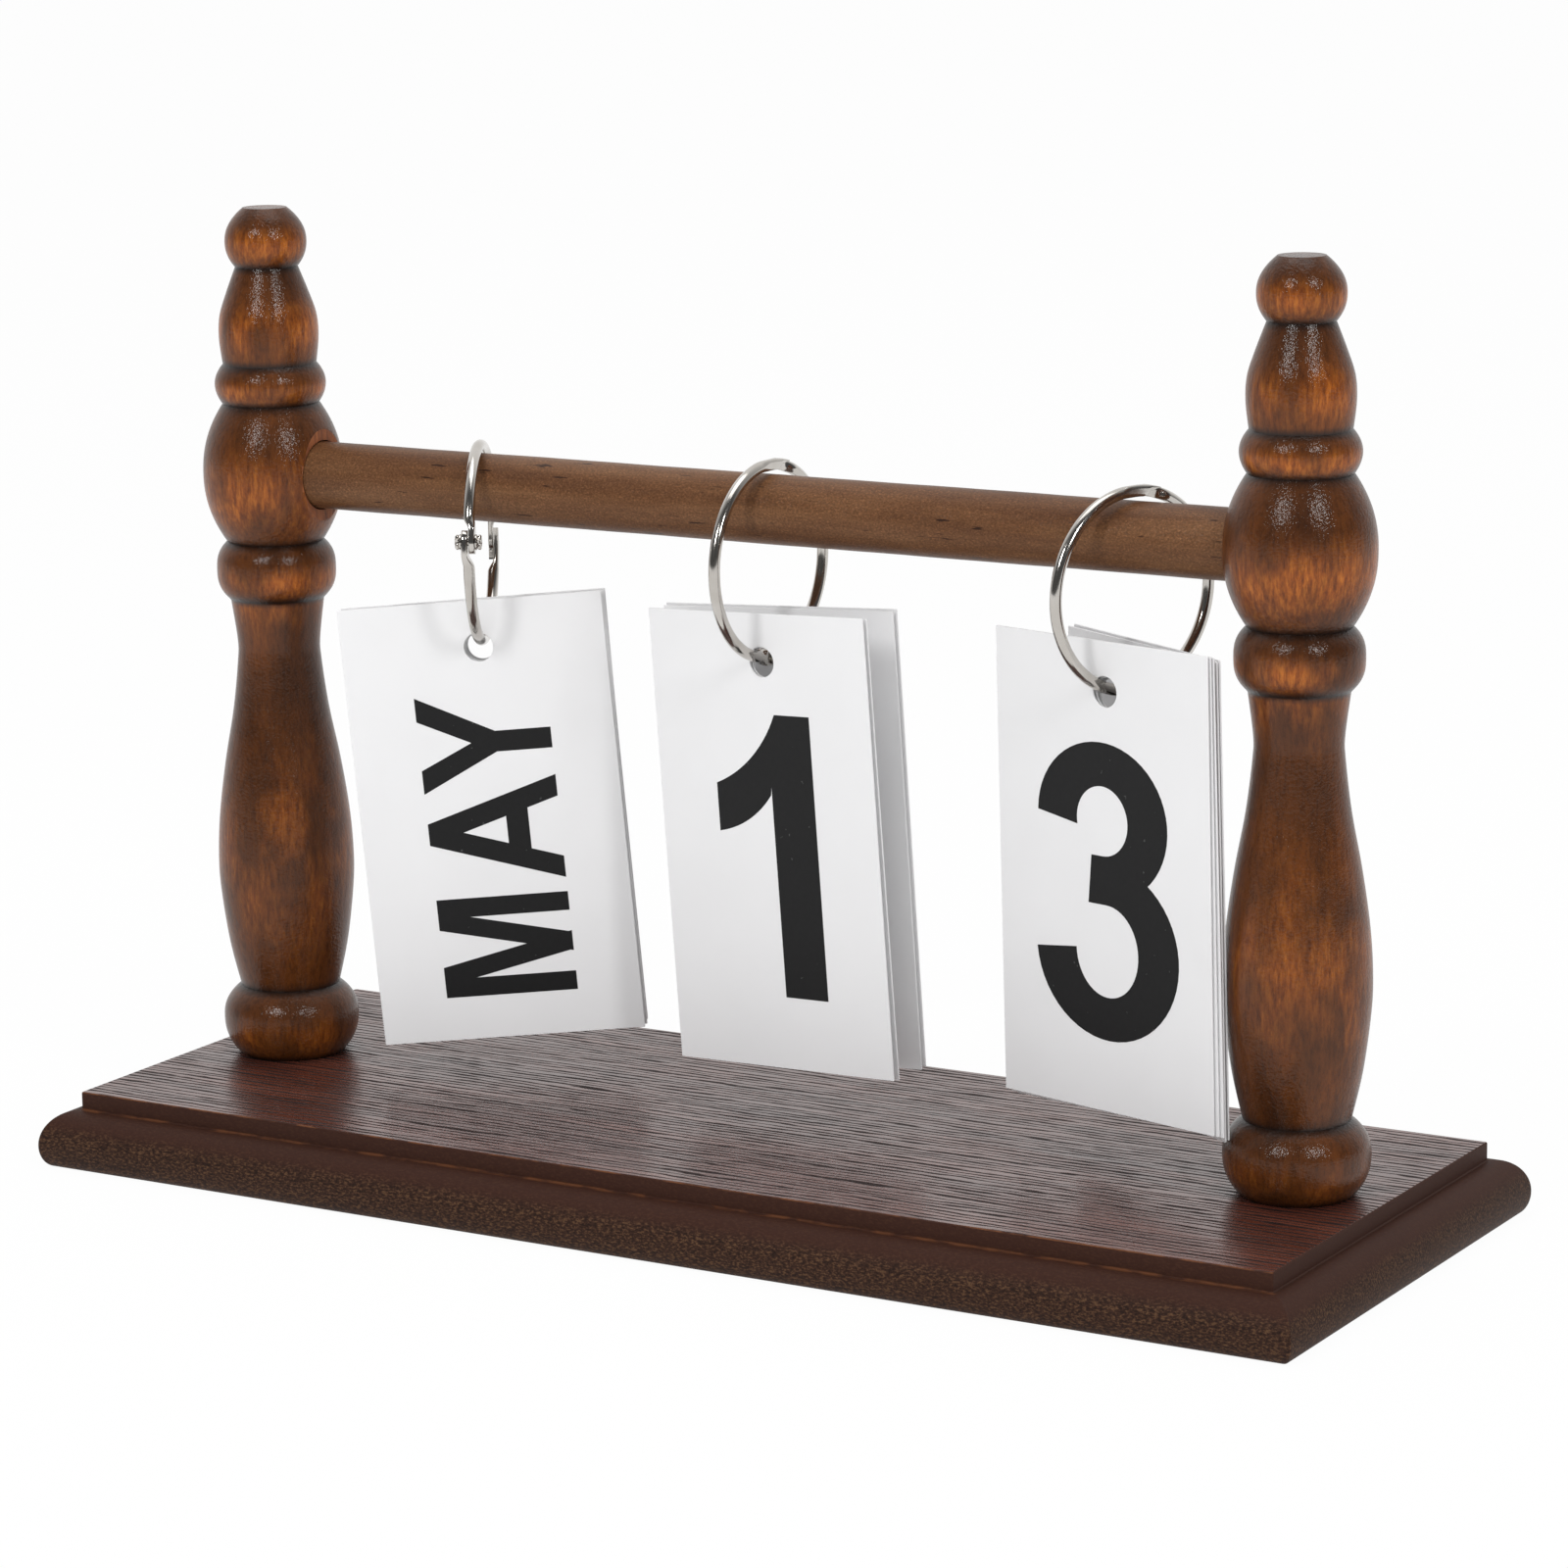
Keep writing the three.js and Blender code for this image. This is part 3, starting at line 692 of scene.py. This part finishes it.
def build_screw(side, sign, material):
    """Countersunk screw with a cross recess and a rolled thread."""
    pitch = 1.8 * MM
    spans_per_turn = 6
    thread_depth = 0.35 * MM
    tip = 5 * MM
    least_radius = 0.05 * MM
    plain = 12 * MM
    core = SCREW_SHANK_RADIUS - thread_depth
    profile = [
        (0.6 * SCREW_HEAD_RADIUS, SEAT_GAP),
        (SCREW_HEAD_RADIUS, SEAT_GAP),
        (SCREW_HEAD_RADIUS, 2 * SEAT_GAP),
        (core, 2 * SEAT_GAP + SCREW_HEAD_HEIGHT),
        (core, plain),
    ]
    steps = int((SCREW_LENGTH - plain) / pitch * spans_per_turn)
    for step in range(1, steps + 1):
        height = blend(plain, SCREW_LENGTH, step / steps)
        taper = min(1.0, (SCREW_LENGTH - height) / tip)

        def threaded(angle, height=height, taper=taper):
            turn = (height / pitch - angle / (2 * math.pi)) % 1
            crest = max(0.0, 1 - abs(turn - 0.5) * 4)
            return max(least_radius, (core + thread_depth * crest) * taper)

        profile.append((threaded, height))
    screw = turned(f"{side}_wood_screw", profile, SCREW_FACETS, sharp_degrees=50)
    recess_reach, recess_half_width, recess_depth = 2.2 * MM, 0.45 * MM, 1.6 * MM
    for x, y in ((recess_reach, recess_half_width), (recess_half_width, recess_reach)):
        cut(screw, box_cutter((-x, -y, -CUTTER_PAST), (x, y, SEAT_GAP + recess_depth)))
    screw.data.transform(Matrix.Translation((sign * POST_PLACE, 0, 0)))
    dress(screw, "root", "screw_steel", material, f"{side}_post_screw")


# ---------------------------------------------------------------------------------------------------
# Rings


def wire_point(deck, place, outward=0.0):
    """A place on the oval in the ring's own frame: X is the normal, Y the back and Z up."""
    angle = math.radians(place)
    across, high = deck["across"] + outward, deck["high"] + outward
    return Vector((0, -across * math.sin(angle), -high * math.cos(angle)))


def ring_matrix(name, deck):
    """From the ring's own frame to the row's frame. The rivet's place and axis come from the joint."""
    joint = JOINTS[f"{name}_ring_open"]
    normal = -Vector(joint["axis"])
    turn = Matrix.Rotation(math.atan2(normal.y, normal.x), 4, "Z")
    rivet = turn @ wire_point(deck, deck["hinge"])
    return Matrix.Translation(Vector(joint["pos_m"]) - rivet) @ turn


def arc_of(deck, length):
    """The angle of the oval that a length of wire takes."""
    return math.degrees(2 * length / (deck["across"] + deck["high"]))


def beside(side, near, thickness):
    """The extent along the ring's normal of a plate on one side of the ring's middle plane."""
    return (near, near + thickness) if side > 0 else (-near - thickness, -near)


def half_section(deck, way, to_hinge, to_clasp):
    """The wire's section at a place. to_hinge and to_clasp are lengths along the wire to the rivet
    and to the middle of the clasp, each negative beyond it. Returns the reach outwards and inwards,
    the extent along the ring's normal, and how square the section is."""
    eye_floor = 1e-5
    round_power, lug_power, hook_power = 2.0, 5.0, 3.0
    low, high = -WIRE_RADIUS, WIRE_RADIUS
    outward = inward = WIRE_RADIUS
    power = round_power

    # Lug: flattened beside the other half's lug, with a round eye
    flat = 1 - ease(to_hinge, LUG_PAST, deck["shoulder"])
    if flat > 0:
        plate = beside(way, HINGE_GAP / 2, LUG_THICKNESS)
        low, high = blend(low, plate[0], flat), blend(high, plate[1], flat)
        outward = inward = blend(WIRE_RADIUS, LUG_HALF_WIDTH, flat)
        if to_hinge < 0:
            outward = inward = LUG_HALF_WIDTH * math.sqrt(max(eye_floor, 1 - (to_hinge / LUG_PAST) ** 2))
        power = blend(round_power, lug_power, flat)

    # Clasp: a half-thick hook that lies beside its partner and springs over it
    half = HOOK_LENGTH / 2
    hooked = 1 - ease(to_clasp, half, half + HOOK_RUN)
    if hooked > 0:
        plate = beside(way * deck["hook_side"], HOOK_GAP, HOOK_THICKNESS)
        low, high = blend(low, plate[0], hooked), blend(high, plate[1], hooked)
        power = blend(round_power, hook_power, hooked)
        # The tail thins to a pointed tip, with the hook's notch before it
        notch_depth, notch_reach = 0.45 * MM, 0.7 * MM
        tail = ease(-to_clasp, -0.2 * half, half)
        thinned = blend(WIRE_RADIUS, -0.7 * WIRE_RADIUS, tail)
        thinned -= max(0.0, 1 - abs(to_clasp + 0.35 * half) / notch_reach) * notch_depth
        if way > 0:
            inward = thinned
        else:
            outward = thinned
    return outward, inward, low, high, power


def build_half(name, deck, half, way):
    """One half of a ring as a loft along the oval. way is 1 for the half that runs from the hinge towards
    greater angles, and -1 for the other."""
    least_reach = 0.02 * MM
    hinge = deck["hinge"]
    clasp = deck["clasp"] + (360 if way > 0 else 0)
    start = hinge - way * arc_of(deck, LUG_PAST)
    end = clasp + way * arc_of(deck, HOOK_LENGTH / 2)
    per_degree = 1 / arc_of(deck, 1.0)
    rings = []
    for span in range(WIRE_SPANS + 1):
        place = blend(start, end, span / WIRE_SPANS)
        to_hinge = way * (place - hinge) * per_degree
        to_clasp = way * (clasp - place) * per_degree
        outward, inward, low, high, power = half_section(deck, way, to_hinge, to_clasp)
        middle = (outward - inward) / 2
        reach = max(least_reach, (outward + inward) / 2)
        ring = []
        for i in range(WIRE_FACETS):
            angle = 2 * math.pi * (i + 0.5) / WIRE_FACETS
            c, s = (math.copysign(abs(v) ** (2 / power), v) for v in (math.cos(angle), math.sin(angle)))
            point = wire_point(deck, place, middle + reach * c)
            ring.append(((low + high) / 2 + (high - low) / 2 * s, point.y, point.z))
        rings.append(ring)
    piece = mesh_object(f"{name}_ring_{half}_wire", *stacked_rings(rings), sharp_degrees=40)
    piece.data.transform(ring_matrix(name, deck))
    return piece


def build_rivet(name, deck):
    """Rivet with a flange and a crimped, toothed head on either side."""
    teeth = 9
    shank, flange, clearance = 0.8 * MM, 1.7 * MM, 0.08 * MM
    foot = HINGE_GAP / 2 + LUG_THICKNESS + clearance

    def crimped(radius, depth):
        return lambda angle: radius * (1 - depth * (0.5 - 0.5 * math.cos(teeth * angle)))

    head = [
        (shank, foot),
        (flange, foot),
        (flange, foot + 0.3 * MM),
        (crimped(1.35 * MM, 0.04), foot + 0.4 * MM),
        (crimped(1.65 * MM, 0.14), foot + 0.62 * MM),
        (crimped(1.66 * MM, 0.24), foot + 1.05 * MM),
        (crimped(1.4 * MM, 0.3), foot + 1.25 * MM),
        (crimped(0.95 * MM, 0.24), foot + 1.3 * MM),
        (0.55 * MM, foot + 1.1 * MM),
        (0.25 * MM, foot + 0.8 * MM),
    ]
    profile = [(radius, -height) for radius, height in reversed(head)] + head
    piece = turned(f"{name}_crimped_rivet", profile, RIVET_FACETS, sharp_degrees=40)
    hinge = Matrix.Translation(wire_point(deck, deck["hinge"]))
    piece.data.transform(ring_matrix(name, deck) @ hinge @ Z_TO_X)
    return piece


def build_ring(name, deck, material):
    bodies = (f"{name}_hung_half", f"{name}_opening_half")
    for half, body, way in zip(deck["halves"], bodies, (1, -1)):
        piece = build_half(name, deck, half, way)
        dress(piece, body, "ring_nickel", material, f"{name}_ring_{half}_half")
    dress(build_rivet(name, deck), f"{name}_hung_half", "ring_nickel", material, f"{name}_ring_rivet")


# ---------------------------------------------------------------------------------------------------
# Cards


def card_frame(node):
    """The card's width, height, thickness and matrix, read from its solid. In the card's own frame the
    hole is at the origin, X is its width, Z its height and -Y its front."""
    corner_count = 8
    points = np.array([vertex.co for vertex in frame["nodes"][node].data.vertices])
    middle = (points.min(0) + points.max(0)) / 2
    corners = points[np.argsort(-np.linalg.norm(points - middle, axis=1))]
    unique = []
    for corner in corners:
        if all(np.linalg.norm(corner - other) > SAME_PLACE for other in unique):
            unique.append(corner)
        if len(unique) == corner_count:
            break
    unique = np.array(unique)
    centre = unique.mean(0)
    axes = np.linalg.svd(unique - centre)[2]
    up, across = Vector(axes[0]), Vector(axes[1])
    up = up if up.z > 0 else -up
    across = across if across.x > 0 else -across
    back = up.cross(across)
    spans = [2 * float(np.abs((unique - centre) @ np.array(axis)).max()) for axis in (across, back, up)]
    hole = Vector(centre) + up * (spans[2] / 2 - CARD_HOLE_INSET) + across * CARD_HOLE_OFFSET
    matrix = Matrix((across, back, up)).transposed().to_4x4()
    matrix.translation = hole
    return spans[0], spans[2], spans[1], matrix


def card_outline(width, height):
    """Points round the card's edge, also along its sides, so that the hole's circle can be joined to them."""
    corner_steps, side_steps = 4, 14
    corners = rounded_outline(width / 2, height / 2, CARD_CORNER, corner_steps)
    outline = []
    for i, (x, z) in enumerate(corners):
        outline.append((x, z))
        if i % (corner_steps + 1) == corner_steps:
            next_x, next_z = corners[(i + 1) % len(corners)]
            for step in range(1, side_steps):
                outline.append((blend(x, next_x, step / side_steps), blend(z, next_z, step / side_steps)))
    return outline


def build_card(name, width, height, thickness, matrix):
    """A sheet with its punched hole, and with its edges eased."""
    half = thickness / 2
    middle_x, middle_z = -CARD_HOLE_OFFSET, CARD_HOLE_INSET - height / 2
    outline = card_outline(width, height)

    def shrunk(inset):
        share_x, share_z = 1 - 2 * inset / width, 1 - 2 * inset / height
        return [(middle_x + x * share_x, middle_z + z * share_z) for x, z in outline]

    def hole(radius):
        towards = [Vector(point).normalized() for point in shrunk(0)]
        return [(radius * point.x, radius * point.y) for point in towards]

    front = [
        (shrunk(0), half - CARD_ARRIS),
        (shrunk(CARD_ARRIS), half),
        (hole(CARD_HOLE_RADIUS + CARD_ARRIS), half),
        (hole(CARD_HOLE_RADIUS), half - CARD_ARRIS),
    ]
    back = [(loop, -depth) for loop, depth in reversed(front)]
    rings = [[(x, depth, z) for x, z in loop] for loop, depth in (*front, *back, front[0])]
    card = mesh_object(name, *stacked_rings(rings, capped=False), sharp_degrees=25)
    card.data.transform(matrix)
    return card


# Lettering, in units of a sign's height. Every sign is made of outlines that overlap: upright and level
# strokes, slants cut level at both ends, slanting strokes cut square, and elliptical arcs.
STROKE = 0.158


def upright(x, low=0.0, high=1.0, stroke=STROKE):
    half = stroke / 2
    return [[(x - half, low), (x + half, low), (x + half, high), (x - half, high)]]


def level(left, right, y, stroke=STROKE):
    half = stroke / 2
    return [[(left, y - half), (right, y - half), (right, y + half), (left, y + half)]]


def slant(foot, top, stroke=0.166, low=0.0, high=1.0):
    half = stroke / 2
    return [[(foot - half, low), (foot + half, low), (top + half, high), (top - half, high)]]


def slanting(start, end, stroke):
    along = (Vector(end) - Vector(start)).normalized()
    aside = Vector((-along.y, along.x)) * stroke / 2
    corners = (Vector(start) - aside, Vector(end) - aside, Vector(end) + aside, Vector(start) + aside)
    return [[tuple(corner) for corner in corners]]


def band(outer, inner):
    """The outline between two arcs, each given by its centre, radii, start and end."""
    steps = 40
    outline = []
    for (centre, radii, first, last), way in ((outer, 1), (inner, -1)):
        for step in range(steps + 1)[::way]:
            angle = math.radians(blend(first, last, step / steps))
            outline.append((centre[0] + radii[0] * math.cos(angle), centre[1] + radii[1] * math.sin(angle)))
    return [outline]


def arc(centre, radii, first, last, strokes=(STROKE, STROKE)):
    """radii run to the middle of the stroke, whose width is given across and up."""
    if last - first > FULLEST_ARC:
        halfway = (first + last) / 2
        return arc(centre, radii, first, halfway, strokes) + arc(centre, radii, halfway, last, strokes)
    outer = (radii[0] + strokes[0] / 2, radii[1] + strokes[1] / 2)
    inner = (radii[0] - strokes[0] / 2, radii[1] - strokes[1] / 2)
    return band((centre, outer, first, last), (centre, inner, first, last))


def bowl(x, y, across, up):
    """The right half of an oval."""
    return arc((x, y), (across, up), -90, 90)


def top_bar(right):
    return level(0, right, 1 - STROKE / 2)


def foot_bar(right):
    return level(0, right, STROKE / 2)


def mirrored(polygons, width):
    return [[(width - x, y) for x, y in polygon] for polygon in polygons]


FAT = (0.18, 0.148)  # stroke of a figure, across and up
FULLEST_ARC = 300  # degrees, past which an arc is made in two, because its ends would meet
STEM = upright(STROKE / 2)
M_HALF = upright(0.073, stroke=0.146) + slant(0.3885, 0.1645, 0.146)
Y_ARM = [[(0, 1), (0.182, 1), (0.37, 0.605), (0.37, 0.42), (0.29, 0.42)]]
ONE_STEM = [[(0.243, 0), (0.429, 0), (0.429, 1), (0.276, 1), (0.253, 0.953), (0.243, 0.93)]]
ONE_FLAG = band(
    ((-0.168, 1.209), (0.491, 0.491), -25.2, -70),
    ((-0.062, 0.9586), (0.3866, 0.3866), -38.9, -80.8),
)
SIGNS = {
    "A": (0.797, slant(0.083, 0.3985) + slant(0.714, 0.3985) + level(0.18, 0.617, 0.32, 0.168)),
    "B": (
        0.66,
        STEM + top_bar(0.36) + level(0, 0.36, 0.53) + foot_bar(0.36)
        + bowl(0.36, 0.7255, 0.19, 0.1955) + bowl(0.36, 0.3045, 0.221, 0.2255),
    ),
    "C": (0.7, arc((0.37, 0.5), (0.291, 0.421), 46, 314)),
    "D": (0.7, STEM + top_bar(0.3) + foot_bar(0.3) + bowl(0.3, 0.5, 0.321, 0.421)),
    "E": (0.56, STEM + top_bar(0.56) + level(0, 0.52, 0.51) + foot_bar(0.56)),
    "F": (0.54, STEM + top_bar(0.54) + level(0, 0.49, 0.5)),
    "G": (
        0.75,
        arc((0.37, 0.5), (0.291, 0.421), 46, 342) + level(0.41, 0.719, 0.44) + upright(0.64, 0.33, 0.519),
    ),
    "J": (0.52, upright(0.441, 0.3) + arc((0.26, 0.3), (0.181, 0.221), 188, 360)),
    "L": (0.54, STEM + foot_bar(0.54)),
    "M": (0.766, M_HALF + mirrored(M_HALF, 0.766)),
    "N": (0.7, upright(0.073, stroke=0.146) + upright(0.627, stroke=0.146) + slant(0.61, 0.09, 0.17)),
    "O": (0.76, arc((0.38, 0.5), (0.301, 0.421), 0, 360)),
    "P": (0.64, STEM + top_bar(0.34) + level(0, 0.34, 0.46) + bowl(0.34, 0.6905, 0.221, 0.2305)),
    "R": (
        0.68,
        STEM + top_bar(0.34) + level(0, 0.34, 0.47)
        + bowl(0.34, 0.6955, 0.221, 0.2255) + slant(0.59, 0.36, 0.18, 0, 0.5),
    ),
    "S": (
        0.64,
        arc((0.32, 0.7105), (0.241, 0.2105), 22, 270) + arc((0.32, 0.2895), (0.241, 0.2105), -158, 90),
    ),
    "T": (0.66, upright(0.33) + top_bar(0.66)),
    "U": (0.68, upright(0.079, 0.38) + upright(0.601, 0.38) + arc((0.34, 0.38), (0.261, 0.301), 180, 360)),
    "V": (0.76, slant(0.38, 0.083) + slant(0.38, 0.677)),
    "Y": (0.74, upright(0.37, 0, 0.42, 0.159) + Y_ARM + mirrored(Y_ARM, 0.74)),
    "0": (0.64, arc((0.32, 0.5), (0.23, 0.426), 0, 360, FAT)),
    "1": (0.43, ONE_STEM + ONE_FLAG),
    "2": (
        0.63,
        arc((0.31, 0.7), (0.215, 0.226), -43, 178, FAT) + slanting((0.09, 0.09), (0.49, 0.565), 0.175)
        + level(0, 0.62, 0.074, 0.148),
    ),
    "3": (
        0.604,
        band(((0.303, 0.742), (0.291, 0.268), -90, 178.8), ((0.303, 0.742), (0.114, 0.119), -90, 190.8))
        + band(((0.316, 0.298), (0.3205, 0.308), -175.5, 90), ((0.316, 0.298), (0.1395, 0.159), -179.3, 90))
        + [[(0.235, 0.457), (0.33, 0.457), (0.33, 0.623), (0.252, 0.623)]],
    ),
    "4": (0.68, upright(0.475, stroke=0.18) + level(0, 0.68, 0.29, 0.148) + slant(0.088, 0.475, 0.176, 0.33)),
    "5": (
        0.63,
        level(0.1, 0.58, 0.926, 0.148) + slant(0.13, 0.18, 0.17, 0.46)
        + arc((0.305, 0.31), (0.235, 0.236), -165, 140, FAT),
    ),
    "6": (
        0.64,
        arc((0.32, 0.31), (0.23, 0.236), 0, 360, FAT)
        + band(((0.34, 0.48), (0.34, 0.52), 60, 220), ((0.34, 0.48), (0.16, 0.372), 60, 195)),
    ),
    "7": (0.6, level(0, 0.6, 0.926, 0.148) + slant(0.2, 0.5, 0.19, 0, 0.87)),
    "8": (
        0.64,
        arc((0.32, 0.745), (0.2, 0.181), 0, 360, FAT) + arc((0.32, 0.302), (0.23, 0.228), 0, 360, FAT),
    ),
    "9": (
        0.64,
        arc((0.32, 0.69), (0.23, 0.236), 0, 360, FAT)
        + band(((0.3, 0.52), (0.34, 0.52), -120, 40), ((0.3, 0.52), (0.16, 0.372), -120, 15)),
    ),
}
SIGN_GAP = 0.11
CLOSER = {"AY": 0.195}  # pairs that stand closer than the gap, and by how much


def print_outlines(text):
    """The outlines of a word or a figure, with the width of the whole."""
    outlines = []
    place = 0.0
    for i, sign in enumerate(text):
        width, strokes = SIGNS[sign]
        if i:
            place += SIGN_GAP - CLOSER.get(text[i - 1 : i + 1], 0)
        outlines += [[(x + place, y) for x, y in stroke] for stroke in strokes]
        place += width
    return outlines, place


def build_print(name, text, front, thickness, matrix):
    """The lettering of one side of a card, as a film of ink on its face. A word is turned on its side."""
    outlines, width = print_outlines(text)
    side = -1 if front else 1
    is_word = not text.isdigit()
    size, drop, aside = MONTH_PRINT if is_word else FIGURE_PRINT
    face = thickness / 2
    vertices, faces = [], []
    for layer, outline in enumerate(outlines):
        # Each stroke is a hair higher than the one before, so that no two faces lie in one plane
        rings = []
        for depth in (face, face + INK_THICKNESS + layer * INK_STEP):
            ring = []
            for x, y in outline:
                u, v = (x - width / 2) * size, (y - 0.5) * size
                if is_word:
                    u, v = -v, u
                ring.append((-side * (aside + u) - CARD_HOLE_OFFSET, side * depth, v - drop))
            rings.append(ring)
        start = len(vertices)
        prism, prism_faces = stacked_rings(rings)
        vertices += prism
        faces += [tuple(start + i for i in prism_face) for prism_face in prism_faces]
    film = mesh_object(name, vertices, faces, joined=False)
    film.data.transform(matrix)
    return film


def build_cards(name, deck, plastic, black):
    for i, (front, back) in enumerate(zip(deck["fronts"], deck["backs"])):
        node = f"{name}_card_{i + 1}"
        width, height, thickness, matrix = card_frame(node)
        card = build_card(f"{name}_sheet_{i + 1}", width, height, thickness, matrix)
        dress(card, node, "card_plastic", plastic, node)
        for text, is_front, label in ((front, True, "front"), (back, False, "back")):
            if text:
                film = build_print(f"{name}_print_{i + 1}_{label}", text, is_front, thickness, matrix)
                dress(film, node, "card_plastic", black)


# ---------------------------------------------------------------------------------------------------
# Studio

STAND_MIDDLE = (0, 0, 0.1)
STRIP_SIZE = (0.17, 0.4)
TOP_LAMP_SIZE = (1.2, 0.8)
LAMP_WATTS = 5.4


def build_world():
    """A backdrop that is white to the camera. Metal mirrors a room that is dark on the near side, and
    every other surface is lit by an even one."""
    backwards = (-0.48, 0.82, 0.3)
    room_light = 0.62
    world = bpy.data.worlds.new("studio")
    bpy.context.scene.world = world
    world.use_nodes = True
    graph = Graph(world.node_tree)
    path = graph.node("ShaderNodeLightPath").outputs
    direction = graph.node("ShaderNodeTexCoord").outputs["Generated"]
    behind = graph.node("ShaderNodeVectorMath", {0: direction, 1: backwards}, operation="DOT_PRODUCT")
    span = {"From Min": -0.1, "From Max": 0.7, "To Min": 0.08, "To Max": 1.0}
    mirrored = graph.node("ShaderNodeMapRange", {"Value": behind.outputs["Value"], **span}).outputs["Result"]
    in_mirror = graph.highest(path["Is Glossy Ray"], path["Is Transmission Ray"])
    room = graph.node("ShaderNodeMix", {0: in_mirror, 2: room_light, 3: mirrored}).outputs[0]
    background = world.node_tree.nodes["Background"].inputs
    graph.feed(background["Color"], 1)
    graph.feed(background["Strength"], graph.highest(path["Is Camera Ray"], room))


def build_floor():
    """A floor that glows white to the camera and keeps a little of its shadow."""
    reach = 4.0
    glow_share = 0.96
    corners = [(-reach, -reach, 0), (reach, -reach, 0), (reach, reach, 0), (-reach, reach, 0)]
    floor = mesh_object("studio_floor", corners, [(0, 1, 2, 3)])
    shader = Shader("pale_floor")
    shader.set(Roughness=0.9, Specular_IOR_Level=0.0)
    mottle = shader.noise(EVEN, 3, detail=2)
    shader.set(Base_Color=shader.ramp(mottle, (0.3, 0.86), (0.7, 0.88)))
    path = shader.node("ShaderNodeLightPath").outputs
    shown = shader.highest(path["Is Camera Ray"], path["Is Glossy Ray"], path["Is Transmission Ray"])
    share = shader.math("MULTIPLY", shown, glow_share)
    glow = shader.node("ShaderNodeEmission", {"Color": 1}).outputs[0]
    mixed = shader.node("ShaderNodeMixShader", {0: share, 1: shader.surface.outputs[0], 2: glow})
    shader.feed(shader.tree.nodes["Material Output"].inputs["Surface"], mixed.outputs[0])
    floor.data.materials.append(shader.material)


def build_lamp(name, place, aim, size):
    lamp = bpy.data.lights.new(name, "AREA")
    lamp.shape = "RECTANGLE"
    lamp.size, lamp.size_y = size
    lamp.energy = LAMP_WATTS
    holder = linked(name, lamp)
    holder.location = place
    holder.rotation_euler = (Vector(aim) - Vector(place)).to_track_quat("-Z", "Y").to_euler()


def build_camera():
    """The photograph's own view, fitted to the posts, the bar, the plinth and the cards."""
    target = Vector((5.43 * MM, 0, 90.43 * MM))
    azimuth, elevation, roll = (math.radians(a) for a in (30.62, 11.84, -0.83))
    distance = 1.1323
    level_reach = math.cos(elevation)
    towards = Vector((math.sin(azimuth) * level_reach, -math.cos(azimuth) * level_reach, math.sin(elevation)))
    lens = bpy.data.cameras.new("photo_view")
    lens.lens = 121.34
    lens.sensor_width = 36
    lens.shift_y = 0.0013
    camera = linked("photo_view", lens)
    level_view = towards.to_track_quat("Z", "Y").to_matrix().to_4x4()
    place = Matrix.Translation(target + towards * distance)
    camera.matrix_world = place @ level_view @ Matrix.Rotation(roll, 4, "Z")
    bpy.context.scene.camera = camera


# ---------------------------------------------------------------------------------------------------
# Everything together

build_camera()
build_world()
build_floor()
build_lamp("front", (-0.05, -1.2, 0.95), STAND_MIDDLE, STRIP_SIZE)
build_lamp("right", (1.15, -0.6, 0.95), STAND_MIDDLE, STRIP_SIZE)
build_lamp("top", (0, 0.1, 1.5), (0, 0, 0), TOP_LAMP_SIZE)

varnish = post_wood()
bare = raw_wood()
build_post("left", -1, varnish, bare)
build_post("right", 1, varnish, bare)
build_plinth(plinth_wood())
build_bar(bar_wood())
steel = zinc()
build_screw("left", -1, steel)
build_screw("right", 1, steel)

plated = nickel()
plastic = card_plastic()
black = ink()
for deck_name, deck in DECKS.items():
    build_ring(deck_name, deck, plated)
    build_cards(deck_name, deck, plastic, black)

bpy.context.scene.view_settings.view_transform = "Standard"
